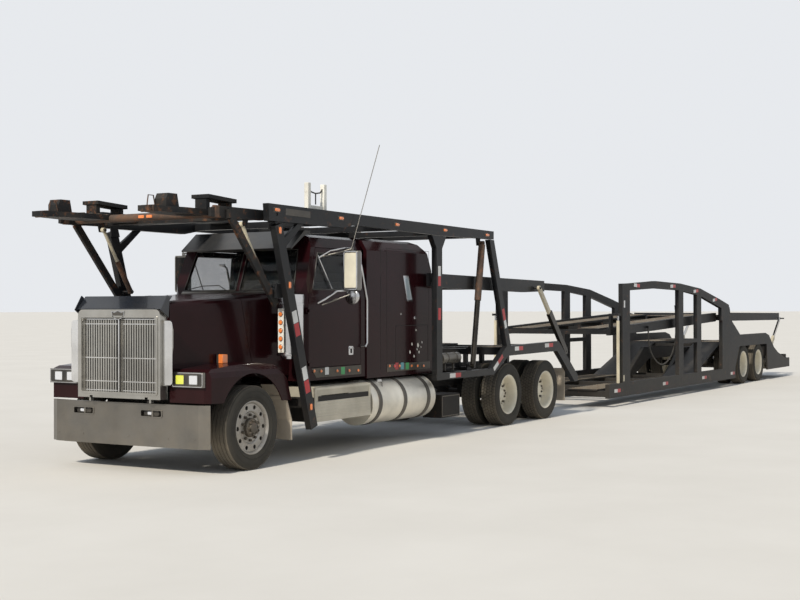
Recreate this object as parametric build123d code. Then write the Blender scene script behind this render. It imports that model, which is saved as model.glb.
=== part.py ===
from build123d import *
import math
import os

os.makedirs("parts", exist_ok=True)

# Everything is in millimetres. While it is drawn, x runs forward from the front axle, y to the
# driver's side and z up from the ground. save() then moves the origin to the middle of the length.
FRONT_REACH = 1370
REAR_REACH = 22690
ORIGIN_SHIFT = (REAR_REACH - FRONT_REACH) / 2

# Running gear
TYRE_R = 475
RIM_R = 288
FRONT_TYRE_WIDTH = 280
DUAL_TYRE_WIDTH = 268
DUAL_SPACING = 340
FRONT_WHEEL_Y = 1035
DRIVE_WHEEL_Y = 1087
KINGPIN_Y = 900
DRIVE_AXLES_X = (-6372, -7734)
TRAILER_TYRE_R = 460
TRAILER_WHEEL_Y = 1115
PLAY = 0.3
GAP = 6

# Tractor frame
RAIL_Y = (350, 430)
RAIL_Z = (620, 880)
RAIL_FRONT = 640
RAIL_REAR = -8900
BALL_X = -9450
BALL_Z = 520
BALL_R = 55

# Bumper, hood and cab
BUMPER_Z = (297, 770)
HOOD_HINGE = (880, 800)
GRILLE_HALF = 609
HOOD_FRONT = 800
HOOD_HALF = (640, 803)
HOOD_TOP = (1895, 2006)
HOOD_SKIN = 14
HOOD_SEAM = [(-300, 2060), (-363, 1793), (-475, 1326), (-522, 1150), (-545, 985)]
FENDER_Y = (640, 1170)
ARCH_R = 610
CAB_WALL = 50
CAB_HALF = 1035
CAB_FRONT = -1180
CAB_REAR = -2556
SLEEPER_REAR = -4380
CAB_FLOOR = 930
ROOF_Z = 2725
DOOR_HINGE = (-1264, CAB_HALF + 12)
DOOR_BOTTOM = 1085
DOOR_HINGES_Z = (1130, 1780)

# Car-carrying body. The plane of its outer posts and rails, and of what runs between them.
OUTER_Y = (1220, 1300)
INNER_Y = (1120, 1180)
RACK_PIVOT = (-270, 2880)
RACK_REAR = -5700
RAMP_TIP = FRONT_REACH
RACK_LIFT = ((-5414, 2763), (-5109, 965))
RAMP_LIFT = ((-420, 2020), (50, 2760))
PLATFORM_HINGE = (-4040, 2185)
PLATFORM_REAR = -7750
PLATFORM_LEG = ((-8400, 1080), (-7384, 2120))

# Trailer. Places along it are given for a length of 12440 from nose to tail and move in step with it.
TRAILER_NOSE = -10250
TRAILER_STRETCH = (REAR_REACH + TRAILER_NOSE) / 12440


def on_trailer(x):
    return TRAILER_NOSE + (x - TRAILER_NOSE) * TRAILER_STRETCH


TRAILER_AXLES_X = (on_trailer(-18780), on_trailer(-20030))
SIDE_RAIL_Z = (170, 420)
TAIL_Y = (1257, 1300)
FRONT_DECK_HINGE = (on_trailer(-16950), 1610)
REAR_DECK_HINGE = (on_trailer(-17950), 1600)
FRONT_LIFT_X = on_trailer(-10800)
REAR_LEG = ((on_trailer(-20700), 330), (on_trailer(-22210), 1500))

# The hose that hangs from the front upper deck to a post of the left side frame, as (x, z) points
HOSE_R = 14
HOSE_Y = 1180
HOSE_ROUTE = [
    (-12560, 1400), (-12560, 1150), (-12690, 930), (-12934, 762), (-13200, 665), (-13500, 660), (-13811, 771),
    (-14040, 940), (-14160, 1180), (-14183, 1436), (-14150, 1650), (-14150, 1800),
]


def block(x, y, z):
    """A box between the low and high values given for each axis."""
    low = (min(x), min(y), min(z))
    size = (abs(x[1] - x[0]), abs(y[1] - y[0]), abs(z[1] - z[0]))
    return Pos(*low) * Box(*size, align=(Align.MIN, Align.MIN, Align.MIN))


def side_plate(points, y):
    """A plate whose outline is given in side view, as (x, z), between two values of y."""
    face = Plane.XZ * Polygon(*points, align=None)
    return Pos(0, min(y), 0) * extrude(face, abs(y[1] - y[0]), dir=(0, 1, 0))


def plan_plate(points, z):
    """A plate whose outline is given from above, as (x, y), between two heights."""
    return Pos(0, 0, z[0]) * extrude(Polygon(*points, align=None), z[1] - z[0], dir=(0, 0, 1))


def front_plate(points, x):
    """A plate whose outline is given from the front, as (y, z), between two values of x."""
    face = Plane.YZ * Polygon(*points, align=None)
    return Pos(min(x), 0, 0) * extrude(face, abs(x[1] - x[0]), dir=(1, 0, 0))


def strut(start, end, depth, y):
    """A flat bar in side view from one (x, z) point to another."""
    dx, dz = end[0] - start[0], end[1] - start[1]
    long = math.hypot(dx, dz)
    nx, nz = -dz / long * depth / 2, dx / long * depth / 2
    corners = [
        (start[0] + nx, start[1] + nz),
        (end[0] + nx, end[1] + nz),
        (end[0] - nx, end[1] - nz),
        (start[0] - nx, start[1] - nz),
    ]
    return side_plate(corners, y)


def rod(start, end, radius):
    """A round bar between two points."""
    path = Vector(*end) - Vector(*start)
    return extrude(Plane(origin=start, z_dir=path) * Circle(radius), path.length)


def cross_pin(at, y, radius):
    """A round bar along y at an (x, z) point."""
    return rod((at[0], y[0], at[1]), (at[0], y[1], at[1]), radius)


def both(shape):
    """A shape and its mirror image on the other side of the vehicle."""
    return shape + mirror(shape, about=Plane.XZ)


def along(start, end, share):
    """The (x, z) point at a share of the way between two others."""
    return tuple(a + (b - a) * share for a, b in zip(start, end))


def merge(shapes):
    whole = shapes[0]
    return whole + shapes[1:] if len(shapes) > 1 else whole


def save(name, shape):
    export_step(Pos(ORIGIN_SHIFT, 0, 0) * shape, f"parts/{name}.step")


# Wheels. A section is given as (radius, distance outboard of the wheel's centre plane).
def ring(section, x, y, z, side):
    """Turns a section about the wheel's axle, with its outboard face on the given side."""
    points = [(side * out, radius) for radius, out in section]
    face = Plane.YZ * Polygon(*points, align=None)
    return Pos(x, y * side, z) * revolve(face, Axis.Y)


def tyre_section(radius, width):
    half = width / 2
    return [
        (RIM_R + 2, -half * 0.72),
        (RIM_R + 60, -half),
        (radius - 45, -half),
        (radius, -half * 0.78),
        (radius, half * 0.78),
        (radius - 45, half),
        (RIM_R + 60, half),
        (RIM_R + 2, half * 0.72),
    ]


FRONT_RIM = [
    (50 + PLAY, 45), (135, 45), (215, 25), (262, -20), (262, -105), (275, -115), (RIM_R + 1.7, -105),
    (RIM_R + 1.7, 105), (275, 115), (262, 108), (262, 5), (225, 45), (140, 68), (105, 68), (105, 128), (50 + PLAY, 128),
]
OUTER_RIM = [
    (60, -150), (120, -150), (200, -110), (262, -90), (262, -95), (275, -105), (RIM_R + 1.7, -95),
    (RIM_R + 1.7, 95), (275, 105), (262, 95), (255, -70), (195, -85), (120, -120), (105, -20), (60, -20),
]
INNER_RIM = [
    (120, 150), (200, 110), (262, 90), (262, 95), (275, 105), (RIM_R + 1.7, 95),
    (RIM_R + 1.7, -95), (275, -105), (262, -95), (255, 70), (195, 85), (120, 120),
]


def dual_wheel(x, y, radius, side):
    """Two tyres and two rims on one hub: the rims' discs meet back to back between the tyres."""
    half = DUAL_SPACING / 2
    hub = [(45, -half - 40), (124, -half - 40), (124, -half + 40), (45, -half + 40)]
    return merge([
        ring(tyre_section(radius, DUAL_TYRE_WIDTH), x, y, radius, side),
        ring(tyre_section(radius, DUAL_TYRE_WIDTH), x, y - DUAL_SPACING, radius, side),
        ring(widen(OUTER_RIM), x, y, radius, side),
        ring(widen(INNER_RIM), x, y - DUAL_SPACING, radius, side),
        ring(hub, x, y, radius, side),
    ])


def widen(section):
    """The section with its bead seats run out to the tyre, so that tyre and rim are one solid."""
    return [(RIM_R + 6 if radius > RIM_R else radius, out) for radius, out in section]


# Running gear of the tractor
def tractor_axles():
    front_beam = merge([
        block((-50, 50), (-836, 836), (400, 500)),
        both(block((-45, 45), (780, 836), (345, 605))),
        both(block((-40, 40), (820, 935), (345, 372)) + block((-40, 40), (820, 935), (578, 605))),
        both(rod((0, KINGPIN_Y, 350), (0, KINGPIN_Y, 600), 18)),
    ])
    springs = both(block((-600, 600), (RAIL_Y[0] + 5, RAIL_Y[1] - 5), (500 + PLAY, RAIL_Z[0] - PLAY)))
    parts = [front_beam + springs]
    for x in DRIVE_AXLES_X:
        parts.append(merge([
            rod((x, -868, TYRE_R), (x, 868, TYRE_R), 72),
            rod((x, -985, TYRE_R), (x, 985, TYRE_R), 45 - PLAY),
            Pos(x, 0, TYRE_R) * Sphere(190),
            both(block((x - 90, x + 90), (RAIL_Y[0] + 5, RAIL_Y[1] - 5), (TYRE_R, RAIL_Z[0] - PLAY))),
        ]))
    shaft = rod((DRIVE_AXLES_X[0] + 150, 0, 500), (-1752, 0, 570), 45)
    return merge([parts[0], parts[1] + shaft, parts[2]])


def knuckle(side):
    """The steered hub carrier: kingpin, spindle and steering arm."""
    body = merge([
        block((-42, 42), (KINGPIN_Y - 30, KINGPIN_Y + 30), (378, 572)),
        rod((0, KINGPIN_Y + 20, TYRE_R), (0, FRONT_WHEEL_Y + 100, TYRE_R), 50),
        block((-200, 0), (KINGPIN_Y - 5, KINGPIN_Y + 15), (430, 470)),
    ])
    body -= rod((0, KINGPIN_Y, 300), (0, KINGPIN_Y, 650), 18 + PLAY)
    return body if side > 0 else mirror(body, about=Plane.XZ)


def chassis():
    parts = [both(block((RAIL_REAR, RAIL_FRONT), RAIL_Y, RAIL_Z))]
    for x in (560, -1950, -2800, -4200, -5350, -7050, -8450, -8800):
        parts.append(block((x - 50, x + 50), (-RAIL_Y[0] - 5, RAIL_Y[0] + 5), (660, 840)))
    arm = side_plate(
        [(600, 780), (600, 870), (700, 870), (780, 808), (HOOD_HINGE[0] + 15, 808), (HOOD_HINGE[0] + 15, 782), (640, 782)],
        (395, 425),
    )
    parts.append(both(arm + cross_pin(HOOD_HINGE, (425, 462), 9)))
    stinger = side_plate(
        [(-8400, 640), (-8400, 850), (-8850, 850), (-9150, 470), (-9560, 450), (-9560, 330), (-8950, 330)],
        (-190, 190),
    )
    neck = rod((BALL_X, 0, 440), (BALL_X, 0, BALL_Z), 32)
    parts += [stinger, neck, Pos(BALL_X, 0, BALL_Z) * Sphere(BALL_R)]
    # Outriggers that carry the rack's front posts and the rails beside the drive wheels
    for x, z in ((-930, 700), (-4200, 835), (-5350, 835)):
        parts.append(both(block((x - 50, x + 50), (RAIL_Y[1] - 5, OUTER_Y[0] - PLAY), (z - 45, z + 45))))
    return merge(parts)


def engine_block():
    """The engine's mass as one plain block on its mounts, with the gearbox behind it."""
    mounts = both(block((-100, 100), (320, RAIL_Y[0] - PLAY), (680, 780)))
    return merge([block((-850, 350), (-330, 330), (660, 1600)), block((-1750, -845), (-240, 240), (500, 900)), mounts])


def front_bumper():
    """A bright channel with swept ends, two openings and a tow pin standing in each."""
    outline = [
        (830, -900), (830, 900), (812, 1050), (750, 1165), (738, 1150), (770, 1040), (780, 880),
        (780, -880), (770, -1040), (738, -1150), (750, -1165), (812, -1050),
    ]
    body = plan_plate(outline, BUMPER_Z)
    body += both(block((RAIL_FRONT + PLAY, 785), RAIL_Y, (560, 740)))
    for y in (-610, 400):
        body -= block((782, 900), (y - 150, y + 150), (625, 700))
        body -= block((700, 790), (y - 150, y - 30), (625, 700)) if y < 0 else block((700, 790), (y + 40, y + 150), (625, 700))
        body += rod((806, y, 615), (806, y, 710), 15)
    return body


# Hood
def hood_section(x, inset=0, lower=0):
    """One cross-section of hood and cowl: flat sides, a rounded edge and a flat top."""
    share = (HOOD_FRONT - x) / (HOOD_FRONT - CAB_FRONT)
    w = HOOD_HALF[0] + (HOOD_HALF[1] - HOOD_HALF[0]) * share - inset
    t = HOOD_TOP[0] + (HOOD_TOP[1] - HOOD_TOP[0]) * share - inset
    b = 1040 - 40 * share - lower
    half = [(w - 70, t), (w - 22, t - 14), (w - 5, t - 36), (w, t - 62), (w, b)]
    points = [(-y, z) for y, z in reversed(half)] + half
    return Pos(x, 0, 0) * (Plane.YZ * Polygon(*points, align=None))


def hood_shell():
    """Hood and cowl in one length, from the windscreen to the nose, open below and at both ends."""
    outer = loft([hood_section(CAB_FRONT - 5), hood_section(HOOD_FRONT)], ruled=True)
    inner = loft([
        hood_section(CAB_FRONT - 40, HOOD_SKIN, 80), hood_section(HOOD_FRONT + 40, HOOD_SKIN, 80),
    ], ruled=True)
    return outer - inner


def fender(side):
    outline = [
        (800, 790), (800, 1110), (700, 1155), (300, 1185), (-150, 1195), (-430, 1165),
        (-640, 1000), (-725, 740),
    ]
    inner = [
        (786, 700), (786, 1098), (695, 1140), (300, 1170), (-150, 1180), (-424, 1150),
        (-627, 992), (-712, 700),
    ]
    out = FENDER_Y[1]

    def crown(edge):
        """The rounding from the fender's top to its side, for one value of y."""
        rounding = [(edge - 170, 1300), (edge - 60, 1180), (edge - 15, 1120), (edge, 1060), (edge, 500)]
        return front_plate([(500, 500), (500, 1300)] + rounding, (-900, 900))

    def corner(edge, front):
        """The cut corner at the headlamps, seen from above."""
        return plan_plate([(-900, 500), (-900, edge), (front - 60, edge), (front, edge - 55), (front, 500)], (600, 1300))
    outer = side_plate(outline, FENDER_Y) & crown(out) & corner(out, 800)
    hollow = side_plate(inner, (500, out)) & Pos(0, 0, -8) * crown(out - HOOD_SKIN) & corner(out - HOOD_SKIN, 786)
    wheel_hole = cross_pin((0, TYRE_R), (500, 1300), ARCH_R)
    beside_cowl = block((-900, HOOD_SEAM[3][0] + GAP), (500, 775), (500, 1300))
    shape = outer - hollow - wheel_hole - beside_cowl
    return shape if side > 0 else mirror(shape, about=Plane.XZ)


def hood():
    """The tilting nose: the shell ahead of the seam, its front wall and both fenders."""
    shell = hood_shell() & side_plate([(900, 900), (900, 2100)] + HOOD_SEAM, (-900, 900))
    front = hood_section(HOOD_FRONT - 13) - Pos(HOOD_FRONT - 13, 0, 0) * (Plane.YZ * Polygon(
        (-548, 1000), (-548, 1682), (-518, 1712), (518, 1712), (548, 1682), (548, 1000), align=None))
    wall = extrude(front, 13, dir=(1, 0, 0))
    return merge([shell, wall, fender(1), fender(-1)])


def grille():
    """The bright surround, its upright bars, and a plate on each side that covers the hood's front edge."""
    surround = block((HOOD_FRONT + PLAY, 920), (-GRILLE_HALF, GRILLE_HALF), (822, 1804))
    surround = fillet(surround.edges().filter_by(Axis.X).sort_by(Axis.Z)[-2:], 70)
    opening = [(-548, 890), (-548, 1682), (-518, 1712), (518, 1712), (548, 1682), (548, 890)]
    surround -= front_plate(opening, (700, 1000))
    parts = [surround]
    bar, pitch, bars = 20, 36, 30
    for i in range(bars + 1):
        y = (i - bars / 2) * pitch
        parts.append(block((870, 884), (y - bar / 2, y + bar / 2), (880, 1688)))
    for z in (1005, 1266, 1643):
        parts.append(block((858, 871), (-552, 552), (z - 10, z + 10)))
    parts.append(block((866, 905), (-24, 24), (880, 1720)))
    parts[0] -= both(block((790, 925), (386, 430), (815, 845)))
    side = GRILLE_HALF - 3
    ear = front_plate([
        (side, 973), (side + 48, 974), (side + 90, 1084), (side + 118, 1192), (side + 133, 1301), (side + 147, 1387),
        (side + 148, 1582), (side + 134, 1636), (side + 110, 1668), (side + 76, 1683), (side, 1689),
    ], (872, 882))
    parts.append(both(ear))
    lug = block((HOOD_HINGE[0] - 20, HOOD_HINGE[0] + 20), (432, 458), (HOOD_HINGE[1] - 20, 830))
    parts.append(both(lug - cross_pin(HOOD_HINGE, (400, 480), 9 + PLAY)))
    return merge(parts)


def headlamps():
    """Twin lamp housings on the fenders' fronts and a turn lamp on each fender's top."""
    bezel = block((HOOD_FRONT + PLAY, 835), (702, 1133), (963, 1125))
    for y in ((722, 900), (916, 1112)):
        bezel -= block((822, 900), y, (985, 1103))
    return both(bezel) + both(block((0, 87), (712, 800), (1192, 1290)))


def bug_deflector():
    """A dark screen that leans back over the front of the hood, with a wing at each end."""
    pane = strut((905, 1805), (765, 1950), 10, (-642, 642))
    wings = both(side_plate([(944, 1800), (836, 1961), (801, 1939), (819, 1716)], (632, 642)))
    foot = block((880, 915), (-520, 520), (1800, 1816))
    return merge([pane, wings, foot]) - block((700, 1000), (-625, 625), (1700, 1804 + PLAY))


# Cab and sleeper. Both come from one profile, set in by the same amount all round.
def cab_solid(inset, front, rear):
    w = CAB_HALF - inset
    section = [
        (-w, CAB_FLOOR + inset), (-w, ROOF_Z - 775), (-w + 60, ROOF_Z - 165), (-w + 130, ROOF_Z - 40 - inset),
        (-w + 260, ROOF_Z - inset), (w - 260, ROOF_Z - inset), (w - 130, ROOF_Z - 40 - inset),
        (w - 60, ROOF_Z - 165), (w, ROOF_Z - 775), (w, CAB_FLOOR + inset),
    ]
    body = front_plate(section, (rear, front))
    slope = side_plate([
        (CAB_FRONT - inset, CAB_FLOOR - 50), (CAB_FRONT - inset, ROOF_Z - 775), (-1420 - inset, ROOF_Z - 125),
        (-1500 - inset, ROOF_Z + 50), (rear - 100, ROOF_Z + 50), (rear - 100, CAB_FLOOR - 50),
    ], (-w - 165, w + 165))
    nose = (CAB_FRONT - inset, w - 105 + 0.656 * inset)
    side = (CAB_FRONT - 97.6 - 0.488 * inset, w + 20)
    corners = [nose, side, (rear - 100, w + 20)]
    plan = plan_plate(corners + [(x, -y) for x, y in reversed(corners)], (CAB_FLOOR - 100, ROOF_Z + 100))
    return body & slope & plan


def door_outline(inset):
    return [
        (-1270 - inset, DOOR_BOTTOM + inset), (-1270 - inset, ROOF_Z - 765), (-1495 - inset, ROOF_Z - 165 - inset),
        (-2435 + inset, ROOF_Z - 165 - inset), (-2435 + inset, DOOR_BOTTOM + inset),
    ]


DOOR_WINDOW = [(-1370, 2040), (-1535, ROOF_Z - 235), (-2340, ROOF_Z - 235), (-2340, 2040)]
SCREEN = [(22, 2030), (CAB_HALF - 165, 2030), (CAB_HALF - 235, ROOF_Z - 185), (22, ROOF_Z - 185)]
WALL_CUT = (CAB_HALF - 185, CAB_HALF + 165)
SLEEPER_WINDOW = [(-3500, 2225), (-3600, 2225), (-3700, 1925), (-3590, 1925)]


def cab():
    """The hollow cab with its door openings, and the fixed cowl between hood and windscreen."""
    shell = cab_solid(0, CAB_FRONT, CAB_REAR) - cab_solid(CAB_WALL, CAB_FRONT, CAB_REAR - 100)
    behind_seam = [(x - GAP, z) for x, z in HOOD_SEAM] + [(CAB_FRONT - 5, 900), (CAB_FRONT - 5, 2100)]
    cowl = hood_shell() & side_plate(behind_seam, (-900, 900))
    mounts = [both(block((x - 60, x + 60), (360, 420), (RAIL_Z[1] + PLAY, CAB_FLOOR + 10))) for x in (-1250, -2400)]
    shell = merge([shell, cowl] + mounts)
    for side in (1, -1):
        shell -= side_plate(door_outline(0), (side * WALL_CUT[0], side * WALL_CUT[1]))
    shell -= both(front_plate(SCREEN, (-1600, -1100)))
    x, y = DOOR_HINGE
    for z in DOOR_HINGES_Z:
        ears = block((x - 11, x + 39), (CAB_HALF - 60, y + 12), (z - 40, z + 40))
        ears -= block((x - 30, x + 100), (CAB_HALF, y + 50), (z - 20, z + 20))
        outside = ears & block((x - 100, -1270), (CAB_HALF, y + 50), (0, 3000))
        on_wall = ears & block((-1270, 0), (CAB_HALF - 60, y + 50), (0, 3000))
        shell += both(outside + on_wall + rod((x, y, z - 38), (x, y, z + 38), 7))
    return shell


def sleeper():
    rear = [
        (CAB_REAR - PLAY, CAB_FLOOR - 40), (CAB_REAR - PLAY, ROOF_Z + 50), (-3900, ROOF_Z + 50), (-3960, ROOF_Z - 20),
        (-4120, ROOF_Z - 135), (-4250, ROOF_Z - 395), (-4330, 1500), (SLEEPER_REAR, CAB_FLOOR - 40),
    ]
    inner = [
        (CAB_REAR + 50, CAB_FLOOR), (CAB_REAR + 50, ROOF_Z + 50), (-3870, ROOF_Z + 50), (-3930, ROOF_Z - 70),
        (-4075, ROOF_Z - 165), (-4200, ROOF_Z - 405), (-4280, 1500), (SLEEPER_REAR + 50, CAB_FLOOR),
    ]
    w = CAB_HALF + 15

    def section(inset, floor):
        return [
            (-w + inset, floor), (-w + inset, ROOF_Z - 165), (-w + 75 + inset, ROOF_Z - 40 - inset),
            (-w + 200 + inset, ROOF_Z - inset), (w - 200 - inset, ROOF_Z - inset), (w - 75 - inset, ROOF_Z - 40 - inset),
            (w - inset, ROOF_Z - 165), (w - inset, floor),
        ]
    outer = front_plate(section(0, CAB_FLOOR - 30), (SLEEPER_REAR - 50, CAB_REAR)) & side_plate(rear, (-w - 50, w + 50))
    hollow = front_plate(section(CAB_WALL, CAB_FLOOR + 30), (SLEEPER_REAR - 50, CAB_REAR + 60))
    hollow &= side_plate(inner, (-w - 50, w + 50))
    shell = outer - hollow
    for x in (-2750, -4150):
        shell += both(block((x - 60, x + 60), (360, 420), (RAIL_Z[1] + PLAY, CAB_FLOOR)))
    for side in (1, -1):
        shell -= side_plate(SLEEPER_WINDOW, (side * WALL_CUT[0], side * WALL_CUT[1]))
    return shell


def cab_glass():
    layer = cab_solid(20, CAB_FRONT, CAB_REAR) - cab_solid(26, CAB_FRONT, CAB_REAR)
    screen = layer & front_plate(SCREEN, (-1600, -1100))
    pane = side_plate(SLEEPER_WINDOW, (CAB_HALF - 12, CAB_HALF - 6))
    return merge([both(screen), both(pane)])


def cab_interior():
    half = CAB_HALF - CAB_WALL - 85
    dash = block((-1560, CAB_FRONT - CAB_WALL - PLAY), (-half, half), (1500, 1880))
    column = rod((-1560, 520, 1650), (-1760, 520, 1800), 30)
    wheel = Pos(-1760, 520, 1800) * Rot(0, -40, 0) * Cylinder(230, 30)
    seats = []
    for y in (520, -520):
        seats.append(merge([
            block((-2330, -1850), (y - 240, y + 240), (1330, 1480)),
            block((-2430, -2310), (y - 240, y + 240), (1330, 2150)),
            block((-2250, -1950), (y - 150, y + 150), (CAB_FLOOR + CAB_WALL + PLAY, 1340)),
        ]))
    return merge([merge([dash, column, wheel])] + seats)


def sun_visor():
    outline = [
        (-1165, 2530), (-1150, 2545), (-1440, ROOF_Z + 45), (-1560, ROOF_Z + 45), (-1560, ROOF_Z + PLAY),
        (-1468, ROOF_Z + PLAY),
    ]
    return side_plate(outline, (175 - CAB_HALF, CAB_HALF - 175))


def door(side):
    body = cab_solid(0, CAB_FRONT, CAB_REAR) - cab_solid(CAB_WALL, CAB_FRONT + 50, CAB_REAR - 50)
    body = body & side_plate(door_outline(GAP), WALL_CUT)
    body -= side_plate(DOOR_WINDOW, WALL_CUT)
    x, y = DOOR_HINGE
    for z in DOOR_HINGES_Z:
        strap = block((x - 70, x), (y - 11, y + 11), (z - 17, z + 17)) + rod((x, y, z - 17), (x, y, z + 17), 11)
        pad = block((x - 70, x - 18), (CAB_HALF - 10, y), (z - 17, z + 17))
        body += (strap + pad) - rod((x, y, z - 50), (x, y, z + 50), 7 + PLAY)
    return body if side > 0 else mirror(body, about=Plane.XZ)


def door_glass(side):
    layer = cab_solid(20, CAB_FRONT, CAB_REAR) - cab_solid(26, CAB_FRONT + 50, CAB_REAR - 50)
    pane = layer & side_plate(DOOR_WINDOW, WALL_CUT)
    return pane if side > 0 else mirror(pane, about=Plane.XZ)


def mirror_set(side):
    """A tall mirror and a round convex one on a tubular frame from the door."""
    y = CAB_HALF + 315
    head = block((-1800, -1720), (y - 100, y + 100), (2030, 2515))
    upper = rod((-1560, CAB_HALF - 35, 2440), (-1760, y, 2540), 10) + block((-1770, -1750), (y - 10, y + 10), (2500, 2560))
    lower = rod((-1560, CAB_HALF - 5, 1850), (-1760, y, 1990), 10) + block((-1770, -1750), (y - 10, y + 10), (1890, 2040))
    convex = rod((-1735, y, 1950), (-1775, y, 1950), 90)
    shape = merge([head, upper, lower, convex])
    if side > 0:
        shape += rod((-1740, y, 2545), (-2400, y, 3885), 5)
    shape -= cab_solid(-0.2, CAB_FRONT + 50, CAB_REAR - 50)
    return shape if side > 0 else mirror(shape, about=Plane.XZ)


def step_boxes():
    box = block((-2405, -1155), (640, 1200), (444, 858))
    slot = block((-1900, -1300), (1120, 1300), (620, 760))
    bracket = block((-2200, -1350), (RAIL_Y[1] + PLAY, 650), (660, 840))
    return both(merge([box - slot, bracket]))


def fuel_tanks():
    radius, y, z = 290, 920, 585
    tank = rod((-4080, y, z), (-2450, y, z), radius)
    straps = [rod((x - 35, y, z), (x + 35, y, z), radius + 8) for x in (-2640, -3265, -3890)]
    brackets = [block((x - 50, x + 50), (RAIL_Y[1] + PLAY, y - 150), (640, 800)) for x in (-2640, -3890)]
    return both(merge([tank] + straps + brackets))


def air_cleaners():
    x, y = -900, 1030
    can = rod((x, y, 1250), (x, y, 1960), 158)
    cap = rod((x, y, 1890), (x, y, 1975), 163)
    foot = rod((x, y, 1215), (x, y, 1252), 110)
    bracket = block((-1010, -975), (789 + PLAY, 960), (1400, 1750))
    strip = block((x + 120, x + 185), (y - 30, y + 30), (1310, 1790))
    return both(merge([can, cap, foot, bracket, strip]))


def mud_flaps():
    """A bowed flap behind each front wheel, hung from a bar, and a flat one behind each drive wheel."""
    front = side_plate([
        (-500, 927), (-655, 745), (-752, 505), (-752, 270), (-764, 270), (-764, 508), (-666, 752), (-509, 934),
    ], (890, FENDER_Y[1] - 20))
    front += rod((-619, RAIL_Y[1] + PLAY, 790), (-619, 1100, 790), 14)
    rear = block((-8480, -8466), (640, 1215), (250, 760)) + block((-8500, -8450), (RAIL_Y[1] + PLAY, 1215), (740, 790))
    return both(merge([front, rear]))


# Car-carrying body of the tractor
def wheel_deck():
    rail = side_plate([
        (-3960, 905), (-5630, 905), (-6130, 1225), (-8050, 1255), (-8830, 660), (-8830, 560),
        (-8700, 560), (-7990, 1095), (-6190, 1075), (-5690, 810), (-3960, 810),
    ], OUTER_Y)
    parts = [both(rail)]
    for x in (-6250, -7050, -7960):
        parts.append(block((x - 50, x + 50), (-OUTER_Y[0] - 5, OUTER_Y[0] + 5), (1085, 1175)))
        parts.append(both(block((x - 40, x + 40), (360, 420), (RAIL_Z[1] + PLAY, 1090))))
    parts.append(both(side_plate([(-6200, 1170), (-8000, 1170), (-8000, 1200), (-6200, 1200)], (560, 1150))))
    lug = merge([
        side_plate([(-8330, 1140), (-8470, 1140), (-8470, 860), (-8330, 900)], (1200, 1214)),
        block((-8430, -8370), (1200, 1225), (850, 960)),
        cross_pin(PLATFORM_LEG[0], (1205, 1290), 14),
    ])
    parts.append(both(lug))
    foot = merge([
        side_plate([(-5040, 830), (-5040, 1000), (-5080, 1015), (-5150, 1015), (-5180, 1000), (-5180, 830)], (1178, 1194)),
        block((-5160, -5060), (1178, 1225), (830, 890)),
        cross_pin(RACK_LIFT[1], (1185, 1290), 14),
    ])
    parts.append(both(foot))
    return merge(parts)


def rack_posts():
    foot, top = (-1007, 400), (-306, 2765)
    front = strut(foot, top, 138, OUTER_Y)
    ear = side_plate([(-240, 2700), (-390, 2700), (-320, 2915), (-225, 2915)], (1196, 1214))
    tie = side_plate([(-240, 2700), (-380, 2700), (-370, 2760), (-240, 2760)], (1196, 1225))
    pin = cross_pin(RACK_PIVOT, (1080, 1292), 20)
    bracket = merge([
        side_plate([(-350, 1930), (-540, 1930), (-480, 2090), (-370, 2090)], (1196, 1225)),
        block((-460, -395), (1145, 1200), (1985, 2008)),
        cross_pin(RAMP_LIFT[0], (1010, 1200), 14),
    ])
    middle = side_plate([
        (-3962, 905 + PLAY), (-3962, 2630), (-3840, 2804), (-4240, 2804), (-4120, 2630), (-4120, 905 + PLAY),
    ], OUTER_Y)
    hinge = cross_pin(PLATFORM_HINGE, (1112, 1225), 18)
    leg = side_plate([(-5570, 2817), (-5710, 2817), (-6270, 1227.3), (-6130, 1227.3)], OUTER_Y)
    return merge([both(merge([front, ear, tie, pin, bracket])), both(merge([middle, hinge])), both(leg)])


def rack():
    beam = side_plate([
        (-110, 2997), (RACK_REAR, 2945), (RACK_REAR, 2825), (-4240, 2812), (-1900, 2840), (-1650, 2795), (-130, 2800),
    ], OUTER_Y)
    beam -= cross_pin(RACK_PIVOT, (1100, 1400), 20 + PLAY)
    parts = [both(beam)]
    for x in (-560, -1900, -3300, -4650, -5600):
        parts.append(block((x - 45, x + 45), (-OUTER_Y[0] - 5, OUTER_Y[0] + 5), (2850, 2930)))
    parts.append(both(block((-5640, -520), (560, 960), (2925, 2950))))
    for x in (-1290, -1630):
        parts.append(block((x - 25, x + 25), (985, 1035), (2945, 3330)))
    parts.append(block((-1680, -1240), (950, OUTER_Y[0] + 5), (2925, 2950)))
    lug = merge([
        side_plate([(-5490, 2900), (-5340, 2900), (-5370, 2725), (-5458, 2725)], (1176, 1192)),
        block((-5460, -5370), (1176, 1225), (2840, 2890)),
        cross_pin(RACK_LIFT[0], (1180, 1290), 16),
    ])
    parts.append(both(lug))
    return merge(parts)


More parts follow.
